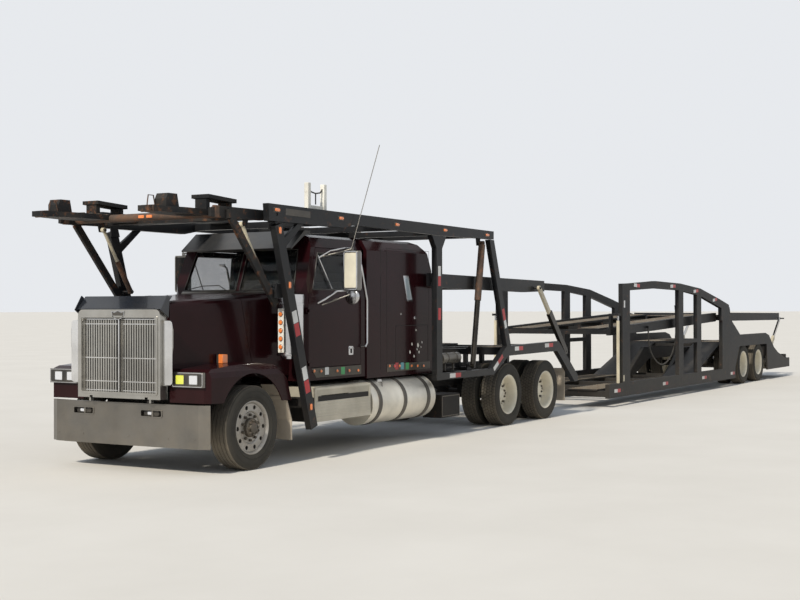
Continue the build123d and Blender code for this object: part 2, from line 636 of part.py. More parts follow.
def head_ramp():
    """The ramp over the hood: side arms with braces, two tapered tracks, chocks and raised plates."""
    arm = side_plate([
        (-320, 2830), (-320, 2930), (600, 2930), (700, 2900), (700, 2810), (600, 2800), (-200, 2810),
    ], (1100, 1140))
    arm -= cross_pin(RACK_PIVOT, (1050, 1200), 20 + PLAY)
    brace = strut((395, 2815), (-430, 1850), 90, (1145, 1185))
    brace += side_plate([(330, 2800), (440, 2800), (440, 2900), (330, 2900)], (1105, 1185))
    pin = cross_pin(RAMP_LIFT[1], (1010, 1104), 14)
    pin += side_plate([(0, 2830), (100, 2830), (75, 2735), (25, 2735)], (1086, 1104))
    track = plan_plate([
        (-200, 560), (-200, 960), (900, 960), (RAMP_TIP, 860), (RAMP_TIP, 700), (900, 560),
    ], (2840, 2900))
    chock = side_plate([(905, 2895), (940, 3045), (1085, 3045), (1117, 2985), (1117, 2895)], (710, 870))
    plate = side_plate([(505, 3030), (505, 3072), (10, 3045), (10, 3000)], (700, 945))
    legs = block((430, 490), (740, 900), (2895, 3040)) + block((40, 90), (740, 900), (2895, 3010))
    parts = [both(merge([arm, brace, pin])), both(merge([track, chock, plate, legs]))]
    parts.append(rod((430, -1105, 2858), (430, 1105, 2858), 42))
    parts.append(block((-100, -20), (-1105, 1105), (2820, 2880)))
    return merge(parts)


def cylinder(base, tip, y, sizes, pins, share, drift):
    """A barrel on the base pin and a rod whose eye goes round the tip's pin, in side view at y."""
    barrel_r, rod_r = sizes
    base_pin, tip_pin = pins
    long = math.dist(base, tip)

    def at(share):
        x, z = along(base, tip, share)
        return (x, y, z)
    half = min(barrel_r * 0.7, 32)
    eye_r = tip_pin + drift + 13
    barrel = rod(at((base_pin + 8) / long), at(share), barrel_r) + cross_pin(base, (y - half, y + half), base_pin + 14)
    barrel -= rod(at(0.08), at(share + 0.02), rod_r + PLAY)
    barrel -= cross_pin(base, (y - 100, y + 100), base_pin + PLAY)
    inner = rod(at(0.10), at(1 - (eye_r - 4) / long), rod_r) + cross_pin(tip, (y - half, y + half), eye_r)
    inner -= cross_pin(tip, (y - 100, y + 100), tip_pin + drift)
    return both(barrel), both(inner)


def leg(base, tip, y, depths, pins, share, drift):
    """The same for a leg of flat box section."""
    base_pin, tip_pin = pins
    long = math.dist(base, tip)
    eye_r = tip_pin + drift + 13
    tube = strut(base, along(base, tip, share), depths[0], y) + cross_pin(base, y, depths[0] / 2)
    inside = (y[0] + 10 - PLAY, y[1] - 10 + PLAY)
    tube -= strut(along(base, tip, 0.08), along(base, tip, share + 0.04), depths[1] + 2 * PLAY, inside)
    tube -= cross_pin(base, (y[0] - 50, y[1] + 50), base_pin + PLAY)
    inner = strut(along(base, tip, 0.12), along(base, tip, 1 - (eye_r - 4) / long), depths[1], (y[0] + 10, y[1] - 10))
    inner += cross_pin(tip, (y[0] + 10, y[1] - 10), eye_r)
    inner -= cross_pin(tip, (y[0] - 50, y[1] + 50), tip_pin + drift)
    return both(tube), both(inner)


def rear_platform():
    rail = side_plate([
        (-3990, 2290), (PLATFORM_REAR, 2240), (PLATFORM_REAR, 2070), (-7000, 2050), (-4400, 2090), (-3990, 2110),
    ], INNER_Y)
    rail -= cross_pin(PLATFORM_HINGE, (1000, 1300), 18 + PLAY)
    parts = [both(rail)]
    for x in (-4450, -5500, -6600, -7680):
        parts.append(block((x - 45, x + 45), (-INNER_Y[0] - 5, INNER_Y[0] + 5), (2110, 2190)))
    parts.append(both(block((-7740, -4410), (500, 960), (2185, 2210))))
    parts.append(both(cross_pin(PLATFORM_LEG[1], (INNER_Y[1] - 5, 1290), 16)))
    return merge(parts)


# Trailer
def trailer_plate(points, y):
    """A side view plate whose points move with the trailer's length."""
    return side_plate([(on_trailer(x), z) for x, z in points], y)


def trailer_block(x, y, z):
    return block((on_trailer(x[0]), on_trailer(x[1])), y, z)


def trailer_cross(x, half, z):
    """A member across the trailer, 100 along it."""
    return block((on_trailer(x) - 50, on_trailer(x) + 50), (-half, half), z)


def trailer_frame():
    """Side rails with their end panels and wheel guards, cross members, raised spine beams and the tongue."""
    parts = [
        both(trailer_block((TRAILER_NOSE, -17920), OUTER_Y, SIDE_RAIL_Z)),
        both(trailer_plate([
            (-16940, 415), (-17920, 415), (-18250, 890), (-18320, 1150), (-17620, 1500), (-16940, 1500),
        ], OUTER_Y)),
        both(trailer_block((-20430, -18100), TAIL_Y, (890, 1160))),
    ]
    for x in (-10330, -11700, -13100, -14500, -15900, -16800):
        parts.append(trailer_cross(x, OUTER_Y[0] + 5, (190, 300)))
    spine = trailer_plate([
        (-15820, 240), (-16900, 620), (-20600, 620), (-20600, 900 - PLAY), (-16600, 900 - PLAY), (-15600, 325),
    ], (400, 480 - PLAY))
    parts.append(both(spine))
    tongue = side_plate([
        (TRAILER_NOSE - 60, 200), (TRAILER_NOSE - 60, 420), (-9900, 720), (BALL_X + 130, 720), (BALL_X + 130, 600),
        (-9850, 590), (TRAILER_NOSE, 200),
    ], (-180, 180))
    cup = rod((BALL_X, 0, 470), (BALL_X, 0, 605), 110) - rod((BALL_X, 0, 400), (BALL_X, 0, BALL_Z + BALL_R + 2), BALL_R + PLAY)
    return merge(parts + [tongue, cup])


def trailer_floor():
    """Tracks along the low floor, slopes up to the floor over the wheels and down to the tail."""
    low = trailer_block((-15290, TRAILER_NOSE), (480, 1060), (300 + PLAY, 325))
    raised = trailer_plate([
        (-15300, 320), (-17500, 1000), (-20500, 1000), (-21790, 530), (-21790, 481), (-20500, 960), (-17500, 960),
        (-15400, 302),
    ], (480, 1100))
    parts = [both(raised)]
    for x, half in ((-17600, OUTER_Y[0]), (-19405, TAIL_Y[0]), (-20550, TAIL_Y[0])):
        parts.append(trailer_cross(x, half - PLAY, (900, 965)))
    return merge(parts) + both(low)


def trailer_tail():
    """The low tail with its tapering sides and the brackets that hang it from the spine beams."""
    sides = trailer_plate([
        (-20430 - PLAY, 1160), (-20750, 1100), (-21210, 790), (-21580, 650), (-22250, 500), (-22250, 250), (-20620, 250),
        (-20540, 890), (-20430 - PLAY, 890),
    ], TAIL_Y)
    hanger = trailer_block((-20660, -20600 - PLAY), (400, OUTER_Y[1]), (600, 900 - PLAY))
    hanger += trailer_block((-21100, -20600 - PLAY), (400, 480 - PLAY), (400, 850))
    lug = cross_pin(REAR_LEG[0], (1140, OUTER_Y[1] - 10), 14)
    tail = block((-REAR_REACH, on_trailer(-21050)), (-OUTER_Y[1], OUTER_Y[1]), (250, 480))
    return merge([tail, both(merge([sides, hanger])), both(lug)])


def trailer_arches():
    """The long arch of each side frame on its posts, with the pins of both upper decks."""
    top = [
        (-10900, 2240), (-11300, 2250), (-12650, 2314), (-14120, 2286), (-15410, 2197), (-16800, 1967), (-17430, 1850),
        (-17560, 1500),
    ]
    under = [
        (-17400, 1500), (-17330, 1720), (-16800, 1790), (-15400, 2040), (-14120, 2145), (-12650, 2170), (-11300, 2120),
        (-10900, 2110),
    ]
    low = SIDE_RAIL_Z[1] + PLAY
    parts = [trailer_plate(top + under, OUTER_Y)]
    for front, rear, high in ((-10900, -11280, 2150), (-14010, -14300, 2160), (-15170, -15460, 2060)):
        parts.append(trailer_plate([(front, low), (rear, low), (rear, high), (front, high)], OUTER_Y))
    parts += [
        trailer_plate([(-16880, 1500 + PLAY), (-17620, 1500 + PLAY), (-17480, 1800), (-16880, 1850)], OUTER_Y),
        cross_pin(FRONT_DECK_HINGE, (1050, OUTER_Y[0] + 5), 18),
        trailer_plate([(-17400, 1520), (-18000, 1560), (-18000, 1640), (-17400, 1700)], (1196, OUTER_Y[0] + 5)),
        cross_pin(REAR_DECK_HINGE, (1050, OUTER_Y[0]), 18),
        trailer_plate([(-14200, 1060), (-15300, 1060), (-15300, 1140), (-14200, 1140)], OUTER_Y),
    ]
    x, z = HOSE_ROUTE[-1]
    hose_end = block((x - 25, x + 25), (HOSE_Y - HOSE_R, OUTER_Y[0] + 5), (z, z + 40))
    return both(merge(parts)) + hose_end


def trailer_axles():
    parts = []
    for x in TRAILER_AXLES_X:
        parts.append(merge([
            rod((x, -896, TRAILER_TYRE_R), (x, 896, TRAILER_TYRE_R), 65),
            rod((x, -1010, TRAILER_TYRE_R), (x, 1010, TRAILER_TYRE_R), 45 - PLAY),
            both(block((x - 70, x + 70), (400, 480), (TRAILER_TYRE_R, 620 - PLAY))),
        ]))
    return merge(parts)


def front_upper_deck():
    rail = trailer_plate([
        (-10700, 1430), (-10700, 1290), (-13000, 1340), (-16990, 1480), (-16990, 1670), (-16000, 1640),
    ], (1060, 1140))
    rail -= cross_pin(FRONT_DECK_HINGE, (1000, 1300), 18 + PLAY)
    parts = [both(rail)]
    for x, z in ((-10790, 1310), (-12500, 1350), (-14200, 1400), (-15800, 1460)):
        parts.append(trailer_cross(x, 1065, (z, z + 80)))
    parts.append(both(trailer_plate([(-10780, 1415), (-16900, 1640), (-16900, 1615), (-10780, 1385)], (450, 900))))
    parts.append(both(trailer_block((-16900, -16820), (440, 1065), (1520, 1625))))
    ear = block((FRONT_LIFT_X - 40, FRONT_LIFT_X + 80), (1135, 1285), (1650, 1690))
    riser = block((FRONT_LIFT_X - 40, FRONT_LIFT_X + 80), (1100, 1140), (1400, 1690))
    parts.append(both(merge([ear, riser])))
    x, z = HOSE_ROUTE[0]
    parts.append(block((x - 20, x + 20), (1135, HOSE_Y + HOSE_R), (z, z + 40)))
    return merge(parts)


def front_lift():
    y = 1250
    barrel = rod((FRONT_LIFT_X, y, SIDE_RAIL_Z[1] + PLAY), (FRONT_LIFT_X, y, 1560), 30)
    barrel -= rod((FRONT_LIFT_X, y, 500), (FRONT_LIFT_X, y, 1700), 20 + PLAY)
    inner = rod((FRONT_LIFT_X, y, 510), (FRONT_LIFT_X, y, 1644), 20)
    return both(barrel), both(inner)


def deck_hose():
    """The hose, as straight runs joined by arcs as large as the runs allow."""
    route = [Vector(x, HOSE_Y, z) for x, z in HOSE_ROUTE]
    radii = []
    for before, at, after in zip(route, route[1:], route[2:]):
        shorter = min((at - before).length, (after - at).length)
        radii.append(0.45 * shorter / math.tan(math.radians((at - before).get_angle(after - at)) / 2))
    path = FilletPolyline(*route, radius=radii)
    tube = sweep(Plane(origin=route[0], z_dir=route[1] - route[0]) * Circle(HOSE_R), path=path)
    print("hose radii", [round(r) for r in radii], "length", round(path.length))
    print("hose volume over section times length", tube.volume / (math.pi * HOSE_R**2 * path.length))
    return tube


def rear_upper_deck():
    rail = trailer_plate([(-17910, 1670), (-22300, 1640), (-22300, 1460), (-17910, 1480)], (1060, 1140))
    rail -= cross_pin(REAR_DECK_HINGE, (1000, 1300), 18 + PLAY)
    parts = [both(rail)]
    for x in (-18200, -19500, -20800, -22200):
        parts.append(trailer_cross(x, 1065, (1490, 1580)))
    parts.append(both(trailer_plate([(-17930, 1600), (-22280, 1590), (-22280, 1565), (-17930, 1575)], (450, 900))))
    parts.append(both(cross_pin(REAR_LEG[1], (1135, 1290), 16)))
    return merge(parts)


for side, word in ((1, "left"), (-1, "right")):
    save(f"front_tyre_{word}", ring(tyre_section(TYRE_R, FRONT_TYRE_WIDTH), 0, FRONT_WHEEL_Y, TYRE_R, side))
    save(f"front_rim_{word}", ring(FRONT_RIM, 0, FRONT_WHEEL_Y, TYRE_R, side))
    save(f"knuckle_{word}", knuckle(side))
    save(f"door_{word}", door(side))
    save(f"door_glass_{word}", door_glass(side))
    save(f"mirror_{word}", mirror_set(side))
    for number, x in enumerate(DRIVE_AXLES_X, 1):
        save(f"drive_wheel_{number}_{word}", dual_wheel(x, DRIVE_WHEEL_Y, TYRE_R, side))
    for number, x in enumerate(TRAILER_AXLES_X, 1):
        save(f"trailer_wheel_{number}_{word}", dual_wheel(x, TRAILER_WHEEL_Y, TRAILER_TYRE_R, side))

# The lifting cylinders and telescoping legs: what holds the pin, then what slides out of it
for names, pair in {
    ("ramp_lift_barrels", "ramp_lift_rods"): cylinder(*RAMP_LIFT, 1050, (32, 20), (14, 14), 0.5, 2),
    ("rack_lift_barrels", "rack_lift_rods"): cylinder(*RACK_LIFT, 1250, (50, 40), (16, 14), 0.47, 2),
    ("platform_leg_tubes", "platform_leg_rods"): leg(*PLATFORM_LEG, (1225, 1285), (110, 78), (14, 16), 0.62, 8),
    ("rear_leg_tubes", "rear_leg_rods"): leg(*REAR_LEG, (1146, 1206), (100, 70), (14, 16), 0.6, 5),
    ("front_lift_barrels", "front_lift_rods"): front_lift(),
}.items():
    for name, shape in zip(names, pair):
        save(name, shape)

for name, make in {
    "chassis": chassis, "front_bumper": front_bumper, "tractor_axles": tractor_axles, "hood": hood, "grille": grille,
    "headlamps": headlamps, "bug_deflector": bug_deflector, "cab": cab, "sleeper": sleeper, "cab_glass": cab_glass,
    "cab_interior": cab_interior, "sun_visor": sun_visor, "step_boxes": step_boxes, "fuel_tanks": fuel_tanks,
    "air_cleaners": air_cleaners, "mud_flaps": mud_flaps, "wheel_deck": wheel_deck, "rack_posts": rack_posts,
    "rack": rack, "head_ramp": head_ramp, "rear_platform": rear_platform, "trailer_frame": trailer_frame,
    "trailer_floor": trailer_floor, "trailer_tail": trailer_tail,
    "trailer_arches": trailer_arches, "trailer_axles": trailer_axles, "front_upper_deck": front_upper_deck,
    "rear_upper_deck": rear_upper_deck, "deck_hose": deck_hose, "engine_block": engine_block,
}.items():
    save(name, make())
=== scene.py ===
import math

import bmesh
import bpy
from mathutils import Matrix, Vector


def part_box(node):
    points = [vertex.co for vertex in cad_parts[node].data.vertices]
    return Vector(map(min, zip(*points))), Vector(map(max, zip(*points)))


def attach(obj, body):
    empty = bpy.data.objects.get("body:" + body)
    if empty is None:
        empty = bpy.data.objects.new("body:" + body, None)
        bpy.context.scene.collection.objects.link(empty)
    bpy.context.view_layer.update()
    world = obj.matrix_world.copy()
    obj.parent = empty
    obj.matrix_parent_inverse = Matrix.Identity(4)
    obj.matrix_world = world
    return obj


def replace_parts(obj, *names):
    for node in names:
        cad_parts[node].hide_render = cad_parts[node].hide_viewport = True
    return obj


bl_info = {
    "name": "Car transporter truck",
    "version": (1, 0, 0),
    "blender": (4, 5, 0),
    "location": "3D View > Sidebar > Transporter",
    "description": "Finishes and fittings of a long-nose car transporter and its trailer",
    "category": "Object",
}

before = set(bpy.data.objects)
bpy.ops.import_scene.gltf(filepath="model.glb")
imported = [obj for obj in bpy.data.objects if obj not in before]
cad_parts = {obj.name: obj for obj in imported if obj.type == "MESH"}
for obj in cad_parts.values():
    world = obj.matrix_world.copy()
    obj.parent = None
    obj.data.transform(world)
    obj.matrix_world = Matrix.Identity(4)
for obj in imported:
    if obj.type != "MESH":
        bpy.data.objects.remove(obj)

# Sizes below are in millimetres, measured from the front axle along x, to the driver's side along y
# and up from the ground along z. The frame is in metres, with that axle at AXLE_X.
MM = 0.001
TYRE_LOW, TYRE_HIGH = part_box("front_tyre_left")
AXLE_X = (TYRE_LOW[0] + TYRE_HIGH[0]) / 2
SIDES = ((1, "left"), (-1, "right"))
SHARP_ANGLE = math.radians(32)
EDGE_WELD_M, EDGE_WIDTH_M, EDGE_ANGLE = 0.0001, 0.005, math.radians(50)

# Running gear
TYRE_R = 475
TRAILER_TYRE_R = 460
FRONT_TYRE_WIDTH = 276
TWIN_TYRE_WIDTH = 264
TREAD_RIBS = 5
RIM_R = 288
NUT_CIRCLE_R = 143
FRONT_WHEEL_Y = 1035
DRIVE_WHEEL_Y = 1087
TRAILER_WHEEL_Y = 1115
DUAL_SPACING = 340
DRIVE_AXLES_X = (-6372, -7734)
TRAILER_AXLES_X = (-18780, -20030)

# Cab, tanks and car-carrying frames
CAB_FRONT = -1180
SILL_Z = 1950
CAB_HALF = 1035
DOOR_SKIRT_Y = 1039
SLEEPER_SKIRT_Y = 1054
OUTER_FACE = 1300
DOOR_WINDOW = [(-1370, 2040), (-1535, 2490), (-2340, 2490), (-2340, 2040)]
SLEEPER_WINDOW = [(-3500, 2225), (-3600, 2225), (-3700, 1925), (-3590, 1925)]
FUEL_TANK_AXIS = (0, 920, 585)
AIR_TANK_AXIS = (0, 1020, 1085)

# Hydraulic hose, as (x, z) points at HOSE_Y
HOSE_Y = 1180
HOSE_ROUTE = [
    (-12560, 1400), (-12560, 1150), (-12690, 930), (-12934, 762), (-13200, 665), (-13500, 660), (-13811, 771),
    (-14040, 940), (-14160, 1180), (-14183, 1436), (-14150, 1650), (-14150, 1800),
]

# Stage: the camera's place is in metres from the front axle, its turn in degrees of yaw, pitch and roll
CAMERA_PLACE = (11.696, 10.110, 1.8265)
CAMERA_TURN = (210.98, 0.295, -0.156)
FOCAL_PIXELS, PICTURE_PIXELS, SENSOR_MM = 1304.5, 800, 36
SUN_HEADING = (-0.80, -0.06, -0.62)
SUN_COLOUR = (1.0, 0.94, 0.84)
SUN_STRENGTH, SUN_WIDTH = 3.7, math.radians(4)
BACKGROUND = (0.80, 0.82, 0.85)
SKY_BANDS = (
    (0.0, (0.30, 0.25, 0.18)), (0.49, (0.40, 0.34, 0.26)), (0.51, (0.62, 0.64, 0.66)), (0.62, (0.50, 0.55, 0.62)),
    (1.0, (0.30, 0.36, 0.46)),
)
FLOOR_TONES = ((0.67, 0.64, 0.585), (0.71, 0.68, 0.625))
FLOOR_HALF_M = 400

DUST = (0.30, 0.25, 0.18)
RUST = (0.11, 0.045, 0.02)


def cab_side(z):
    """The cab's half width at a height: its sides lean in above the window sill."""
    return CAB_HALF - max(0, z - SILL_Z) * 60 / 610


def on_screen(z):
    """How far forward the sloping windscreen is at a height."""
    return CAB_FRONT - (z - SILL_Z) * 240 / 650 + 4


def on_front_post(z):
    """A point on the middle of the leaning front post."""
    return (-1007 + (z - 400) * 701 / 2365, z)


def on_rear_post(z):
    """A point on the middle of the leaning rear post."""
    return (-6200 + (z - 1227) * 560 / 1590, z)


# Nodes, for materials, patterns and the sky
def fill(tree, made, values):
    """Links or sets a node's inputs, named as on the node, or i0, i1 and so on by number."""
    for name, value in values.items():
        numbered = name[0] == "i" and name[1:].isdigit()
        socket = made.inputs[int(name[1:]) if numbered else name.replace("_", " ")]
        if isinstance(value, bpy.types.NodeSocket):
            tree.links.new(value, socket)
        else:
            socket.default_value = (*value, 1) if socket.type == "RGBA" else value


def add(tree, kind, operation=None, **values):
    """A new node with its operation and its inputs."""
    made = tree.nodes.new(kind)
    if operation:
        made.operation = operation
    fill(tree, made, values)
    return made


def node(tree, kind, operation=None, **values):
    """The first output of a new node."""
    return add(tree, kind, operation, **values).outputs[0]


def maths(tree, operation, *values):
    """The result of a sum in a Math node."""
    return node(tree, "ShaderNodeMath", operation, **{f"i{number}": value for number, value in enumerate(values)})


def ramp(tree, fac, stops):
    """Steps between values or colours: stops are (position, value)."""
    made = add(tree, "ShaderNodeValToRGB", Fac=fac)
    elements = made.color_ramp.elements
    while len(elements) < len(stops):
        elements.new(0.5)
    for element, (at, value) in zip(elements, stops):
        element.position = at
        element.color = (*value, 1) if isinstance(value, tuple) else (value, value, value, 1)
    return made.outputs["Color"]


class Finish:
    """One material under construction, with short names for the nodes that the finishes share."""

    def __init__(self, name):
        self.made = bpy.data.materials.new(name + "_finish")
        self.made.use_nodes = True
        self.tree = self.made.node_tree
        self.place = add(self.tree, "ShaderNodeTexCoord").outputs["Object"]

    def shade(self, **values):
        """Links or sets the shader's own inputs, and returns the material."""
        fill(self.tree, self.tree.nodes["Principled BSDF"], values)
        return self.made

    def noise(self, scale, detail=4.0, rough=0.6, stretch=None):
        """Noise over Object coordinates, drawn out along an axis where stretch says so."""
        place = node(self.tree, "ShaderNodeMapping", Vector=self.place, Scale=stretch) if stretch else self.place
        made = add(self.tree, "ShaderNodeTexNoise", Vector=place, Scale=scale, Detail=detail, Roughness=rough)
        return made.outputs["Fac"]

    def ramp(self, fac, *stops):
        return ramp(self.tree, fac, stops)

    def height(self, low, high):
        """1 at and below the low height, 0 at and above the high one, in metres."""
        z = add(self.tree, "ShaderNodeSeparateXYZ", Vector=self.place).outputs["Z"]
        return add(self.tree, "ShaderNodeMapRange", Value=z, From_Min=high, From_Max=low).outputs["Result"]

    def clamped(self, operation, first, second):
        """The result of a sum, kept between 0 and 1."""
        made = add(self.tree, "ShaderNodeMath", operation, i0=first, i1=second)
        made.use_clamp = True
        return made.outputs["Value"]

    def mix(self, fac, first, second):
        made = self.tree.nodes.new("ShaderNodeMix")
        made.data_type = "RGBA"
        fill(self.tree, made, {"Factor": fac, "i6": first, "i7": second})
        return made.outputs[2]

    def bump(self, height, strength, distance=0.002):
        made = add(self.tree, "ShaderNodeBump", Height=height, Strength=strength, Distance=distance)
        self.shade(Normal=made.outputs["Normal"])


# Finishes
def weathered(name, colour, gloss, metal, dust, low_dust, rust, coat=0.0, gleam=0.5, grain=None):
    """Paint, metal or rubber with darker patches, rust in spots and dust that lies low."""
    made = Finish(name)
    patches = made.ramp(made.noise(1.7, 5.0), (0.38, 0.0), (0.66, 1.0))
    fine = made.noise(38, 6.0, 0.7, grain)
    base = made.mix(patches, colour, tuple(c * 0.72 for c in colour))
    if rust:
        edge, core = (0.62 - 0.16 * rust, 0.0), (0.7 - 0.1 * rust, min(1.0, 0.5 + rust))
        base = made.mix(made.ramp(made.noise(9, 9.0, 0.72), edge, core), base, RUST)
    veil = made.clamped("MULTIPLY", made.ramp(made.noise(3.1, 7.0), (0.35, 0.0), (0.75, 1.0)), dust)
    low = made.clamped("MULTIPLY", made.height(0.25, 1.35), low_dust)
    uneven = made.ramp(made.noise(5.3, 6.0), (0.2, 0.45), (0.7, 1.0))
    veil = made.clamped("ADD", veil, made.clamped("MULTIPLY", low, uneven))
    rough = made.clamped("ADD", made.clamped("MULTIPLY", fine, 0.22), gloss - 0.1)
    rough = made.clamped("ADD", rough, made.clamped("MULTIPLY", veil, 0.45))
    made.bump(fine, 0.12 + 0.3 * rust, 0.0015)
    return made.shade(Base_Color=made.mix(veil, base, DUST), Roughness=rough, Metallic=metal, Coat_Weight=coat,
                      Coat_Roughness=0.04, Specular_IOR_Level=gleam)


def lens(name, colour, glow):
    """A moulded lamp lens with upright flutes."""
    made = Finish(name)
    wave = add(made.tree, "ShaderNodeTexWave", Vector=made.place, Scale=22)
    wave.bands_direction = "Y"
    flutes = wave.outputs["Fac"]
    tone = made.mix(made.ramp(flutes, (0.0, 0.0), (1.0, 0.5)), colour, tuple(min(1, c * 1.5 + 0.05) for c in colour))
    made.bump(flutes, 0.5)
    return made.shade(Base_Color=tone, Roughness=0.12, Coat_Weight=1.0, Coat_Roughness=0.03, Emission_Color=colour,
                      Emission_Strength=glow)


def clear_glass(name, tint, alpha):
    """Tinted glass, mostly clear, with a little dust."""
    made = Finish(name)
    tone = made.mix(made.ramp(made.noise(6, 6), (0.4, 0.0), (0.9, 0.25)), tint, DUST)
    return made.shade(Base_Color=tone, Roughness=0.03, Alpha=alpha, Specular_IOR_Level=0.4, Coat_Weight=0.3,
                      Coat_Roughness=0.02)


def fibre(name, colour):
    """Cab trim cloth with a fine weave."""
    made = Finish(name)
    weave = made.noise(420, 2.0, 0.5, (1.0, 1.0, 3.0))
    made.bump(weave, 0.4, 0.001)
    tone = made.mix(made.ramp(weave, (0.35, 0.0), (0.65, 1.0)), colour, tuple(c * 1.7 for c in colour))
    return made.shade(Base_Color=tone, Roughness=0.9, Sheen_Weight=0.3)


def honeycomb(name):
    """A radiator core: fins and tubes as a fine dark grid."""
    made = Finish(name)
    cells = add(made.tree, "ShaderNodeTexVoronoi", Vector=made.place, Scale=110)
    cells.feature = "DISTANCE_TO_EDGE"
    tone = made.ramp(cells.outputs["Distance"], (0.0, (0.06, 0.06, 0.06)), (0.12, (0.006, 0.006, 0.006)))
    return made.shade(Base_Color=tone, Roughness=0.8)


# colour or the property that holds it, gloss, metal, dust, dust low down, rust, then coat, gleam and grain
WEATHERED = {
    "maroon_paint": ("paint", 0.2, 0, 0.003, 0.02, 0, 0.1, 0.1),
    "black_steel": ("frame_paint", 0.42, 0, 0.03, 0.03, 0.12, 0.1, 0.2),
    "trailer_steel": ("frame_paint", 0.5, 0, 0.05, 0.07, 0.15, 0, 0.2),
    "worn_black": ("frame_paint", 0.55, 0, 0.08, 0, 0.5, 0, 0.2),
    "frame_black": ((0.006, 0.006, 0.007), 0.6, 0, 0.03, 0.04, 0.1, 0, 0.2),
    "worn_steel": ((0.21, 0.19, 0.16), 0.5, 0.6, 0.35, 0.4, 0.7),
    "rusty_steel": ((0.055, 0.03, 0.02), 0.75, 0, 0.15, 0, 0.9),
    "oiled_steel": ((0.022, 0.020, 0.018), 0.25, 0.7, 0.1, 0.1, 0),
    "bright_chrome": ((0.62, 0.62, 0.63), 0.16, 1, 0.10, 0.15, 0),
    "grille_chrome": ((0.46, 0.45, 0.42), 0.28, 0.9, 0.22, 0.05, 0),
    "dull_chrome": ((0.19, 0.183, 0.17), 0.3, 0.9, 0.2, 0.2, 0, 0, 0.5, (1, 0.15, 4)),
    "rod_chrome": ((0.6, 0.6, 0.6), 0.12, 1, 0.05, 0, 0),
    "polished": ((0.86, 0.86, 0.86), 0.14, 1, 0.12, 0.1, 0),
    "mirror_silver": ((0.75, 0.78, 0.8), 0.12, 1, 0.02, 0, 0),
    # The near mirror head's forward face: pale cream, a painted sunlit reflection
    "mirror_front": ((0.80, 0.75, 0.60), 0.3, 0.2, 0.15, 0, 0, 0.4),
    "visor_metal": ((0.05, 0.052, 0.055), 0.3, 0.5, 0.12, 0, 0),
    "tank_aluminium": ((0.84, 0.80, 0.70), 0.36, 0.6, 0.18, 0.12, 0, 0, 0.5, (0.1, 3, 3)),
    "dull_strap": ((0.075, 0.07, 0.064), 0.5, 0.4, 0.2, 0.15, 0.2),
    "dull_skirt": ((0.045, 0.039, 0.033), 0.4, 0.5, 0.22, 0.2, 0),
    "step_plate": ((0.50, 0.465, 0.37), 0.5, 0.2, 0.25, 0.2, 0),
    "step_frame": ((0.62, 0.58, 0.48), 0.45, 0.3, 0.25, 0.2, 0),
    "cream_paint": ((0.60, 0.54, 0.40), 0.45, 0, 0.25, 0.2, 0.25),
    "cream_rim": ((0.84, 0.78, 0.63), 0.4, 0, 0.18, 0.1, 0.1),
    "white_post": ((0.85, 0.83, 0.75), 0.45, 0, 0.25, 0, 0.15),
    "polished_rim": ((0.42, 0.41, 0.39), 0.35, 0.75, 0.35, 0.3, 0.15),
    "greasy_hub": ((0.055, 0.05, 0.045), 0.45, 0.5, 0.2, 0.2, 0.3),
    "tyre_rubber": ((0.020, 0.020, 0.018), 0.75, 0, 0.05, 0.08, 0, 0, 0.3),
    "dusty_tread": ((0.075, 0.069, 0.060), 0.85, 0, 0.35, 0.2, 0, 0, 0.2),
    "flap_rubber": ((0.52, 0.45, 0.36), 0.8, 0, 0.35, 0.2, 0),
    "hose_rubber": ((0.012, 0.012, 0.012), 0.55, 0, 0.2, 0.1, 0),
    "black_plastic": ((0.012, 0.012, 0.012), 0.5, 0, 0.12, 0.1, 0),
    # Black for seams and joints, and for sheets that stand in for shade: the slot under the step treads and the
    # ramp's holes
    "black_seam": ((0.004, 0.004, 0.004), 0.8, 0, 0.03, 0.05, 0),
    "smoke_screen": ((0.012, 0.015, 0.021), 0.2, 0, 0.03, 0, 0, 0.4, 0.4),
    # The sleeper window: an opaque pale blue-grey sheet, a painted sky reflection in place of glass
    "pale_pane": ((0.50, 0.58, 0.62), 0.1, 0.4, 0.1, 0, 0, 0.6),
    "tape_red": ((0.46, 0.012, 0.018), 0.35, 0, 0.05, 0.08, 0),
    "tape_white": ((0.72, 0.72, 0.70), 0.35, 0, 0.15, 0.2, 0),
    "label_green": ((0.03, 0.36, 0.10), 0.35, 0, 0.1, 0.1, 0),
    "label_blue": ((0.10, 0.36, 0.42), 0.35, 0, 0.1, 0.1, 0),
}
OTHER_FINISHES = {
    "lens_clear": (lens, (0.44, 0.45, 0.47), 0.06),
    "lens_yellow": (lens, (0.50, 0.52, 0.05), 0.12),
    "lens_amber": (lens, (0.68, 0.17, 0.03), 0.10),
    "lens_red": (lens, (0.45, 0.012, 0.012), 0.2),
    "window_glass": (clear_glass, (0.012, 0.017, 0.02), 0.26),
    "cab_trim": (fibre, (0.035, 0.032, 0.03)),
    "radiator_core": (honeycomb,),
}


def finish(name):
    """The material of a finish, made the first time that it is asked for."""
    made = bpy.data.materials.get(name + "_finish")
    if made:
        return made
    if name in OTHER_FINISHES:
        maker, *values = OTHER_FINISHES[name]
        return maker(name, *values)
    colour, *values = WEATHERED[name]
    if isinstance(colour, str):
        colour = tuple(getattr(bpy.context.scene.transporter_finish, colour))
    return weathered(name, colour, *values)


# Mesh building
def near(at, half):
    """The span of a given half width about a middle."""
    return (at - half, at + half)


def oblong(first, last):
    """A rectangle's outline between two opposite corners."""
    return [first, (last[0], first[1]), last, (first[0], last[1])]


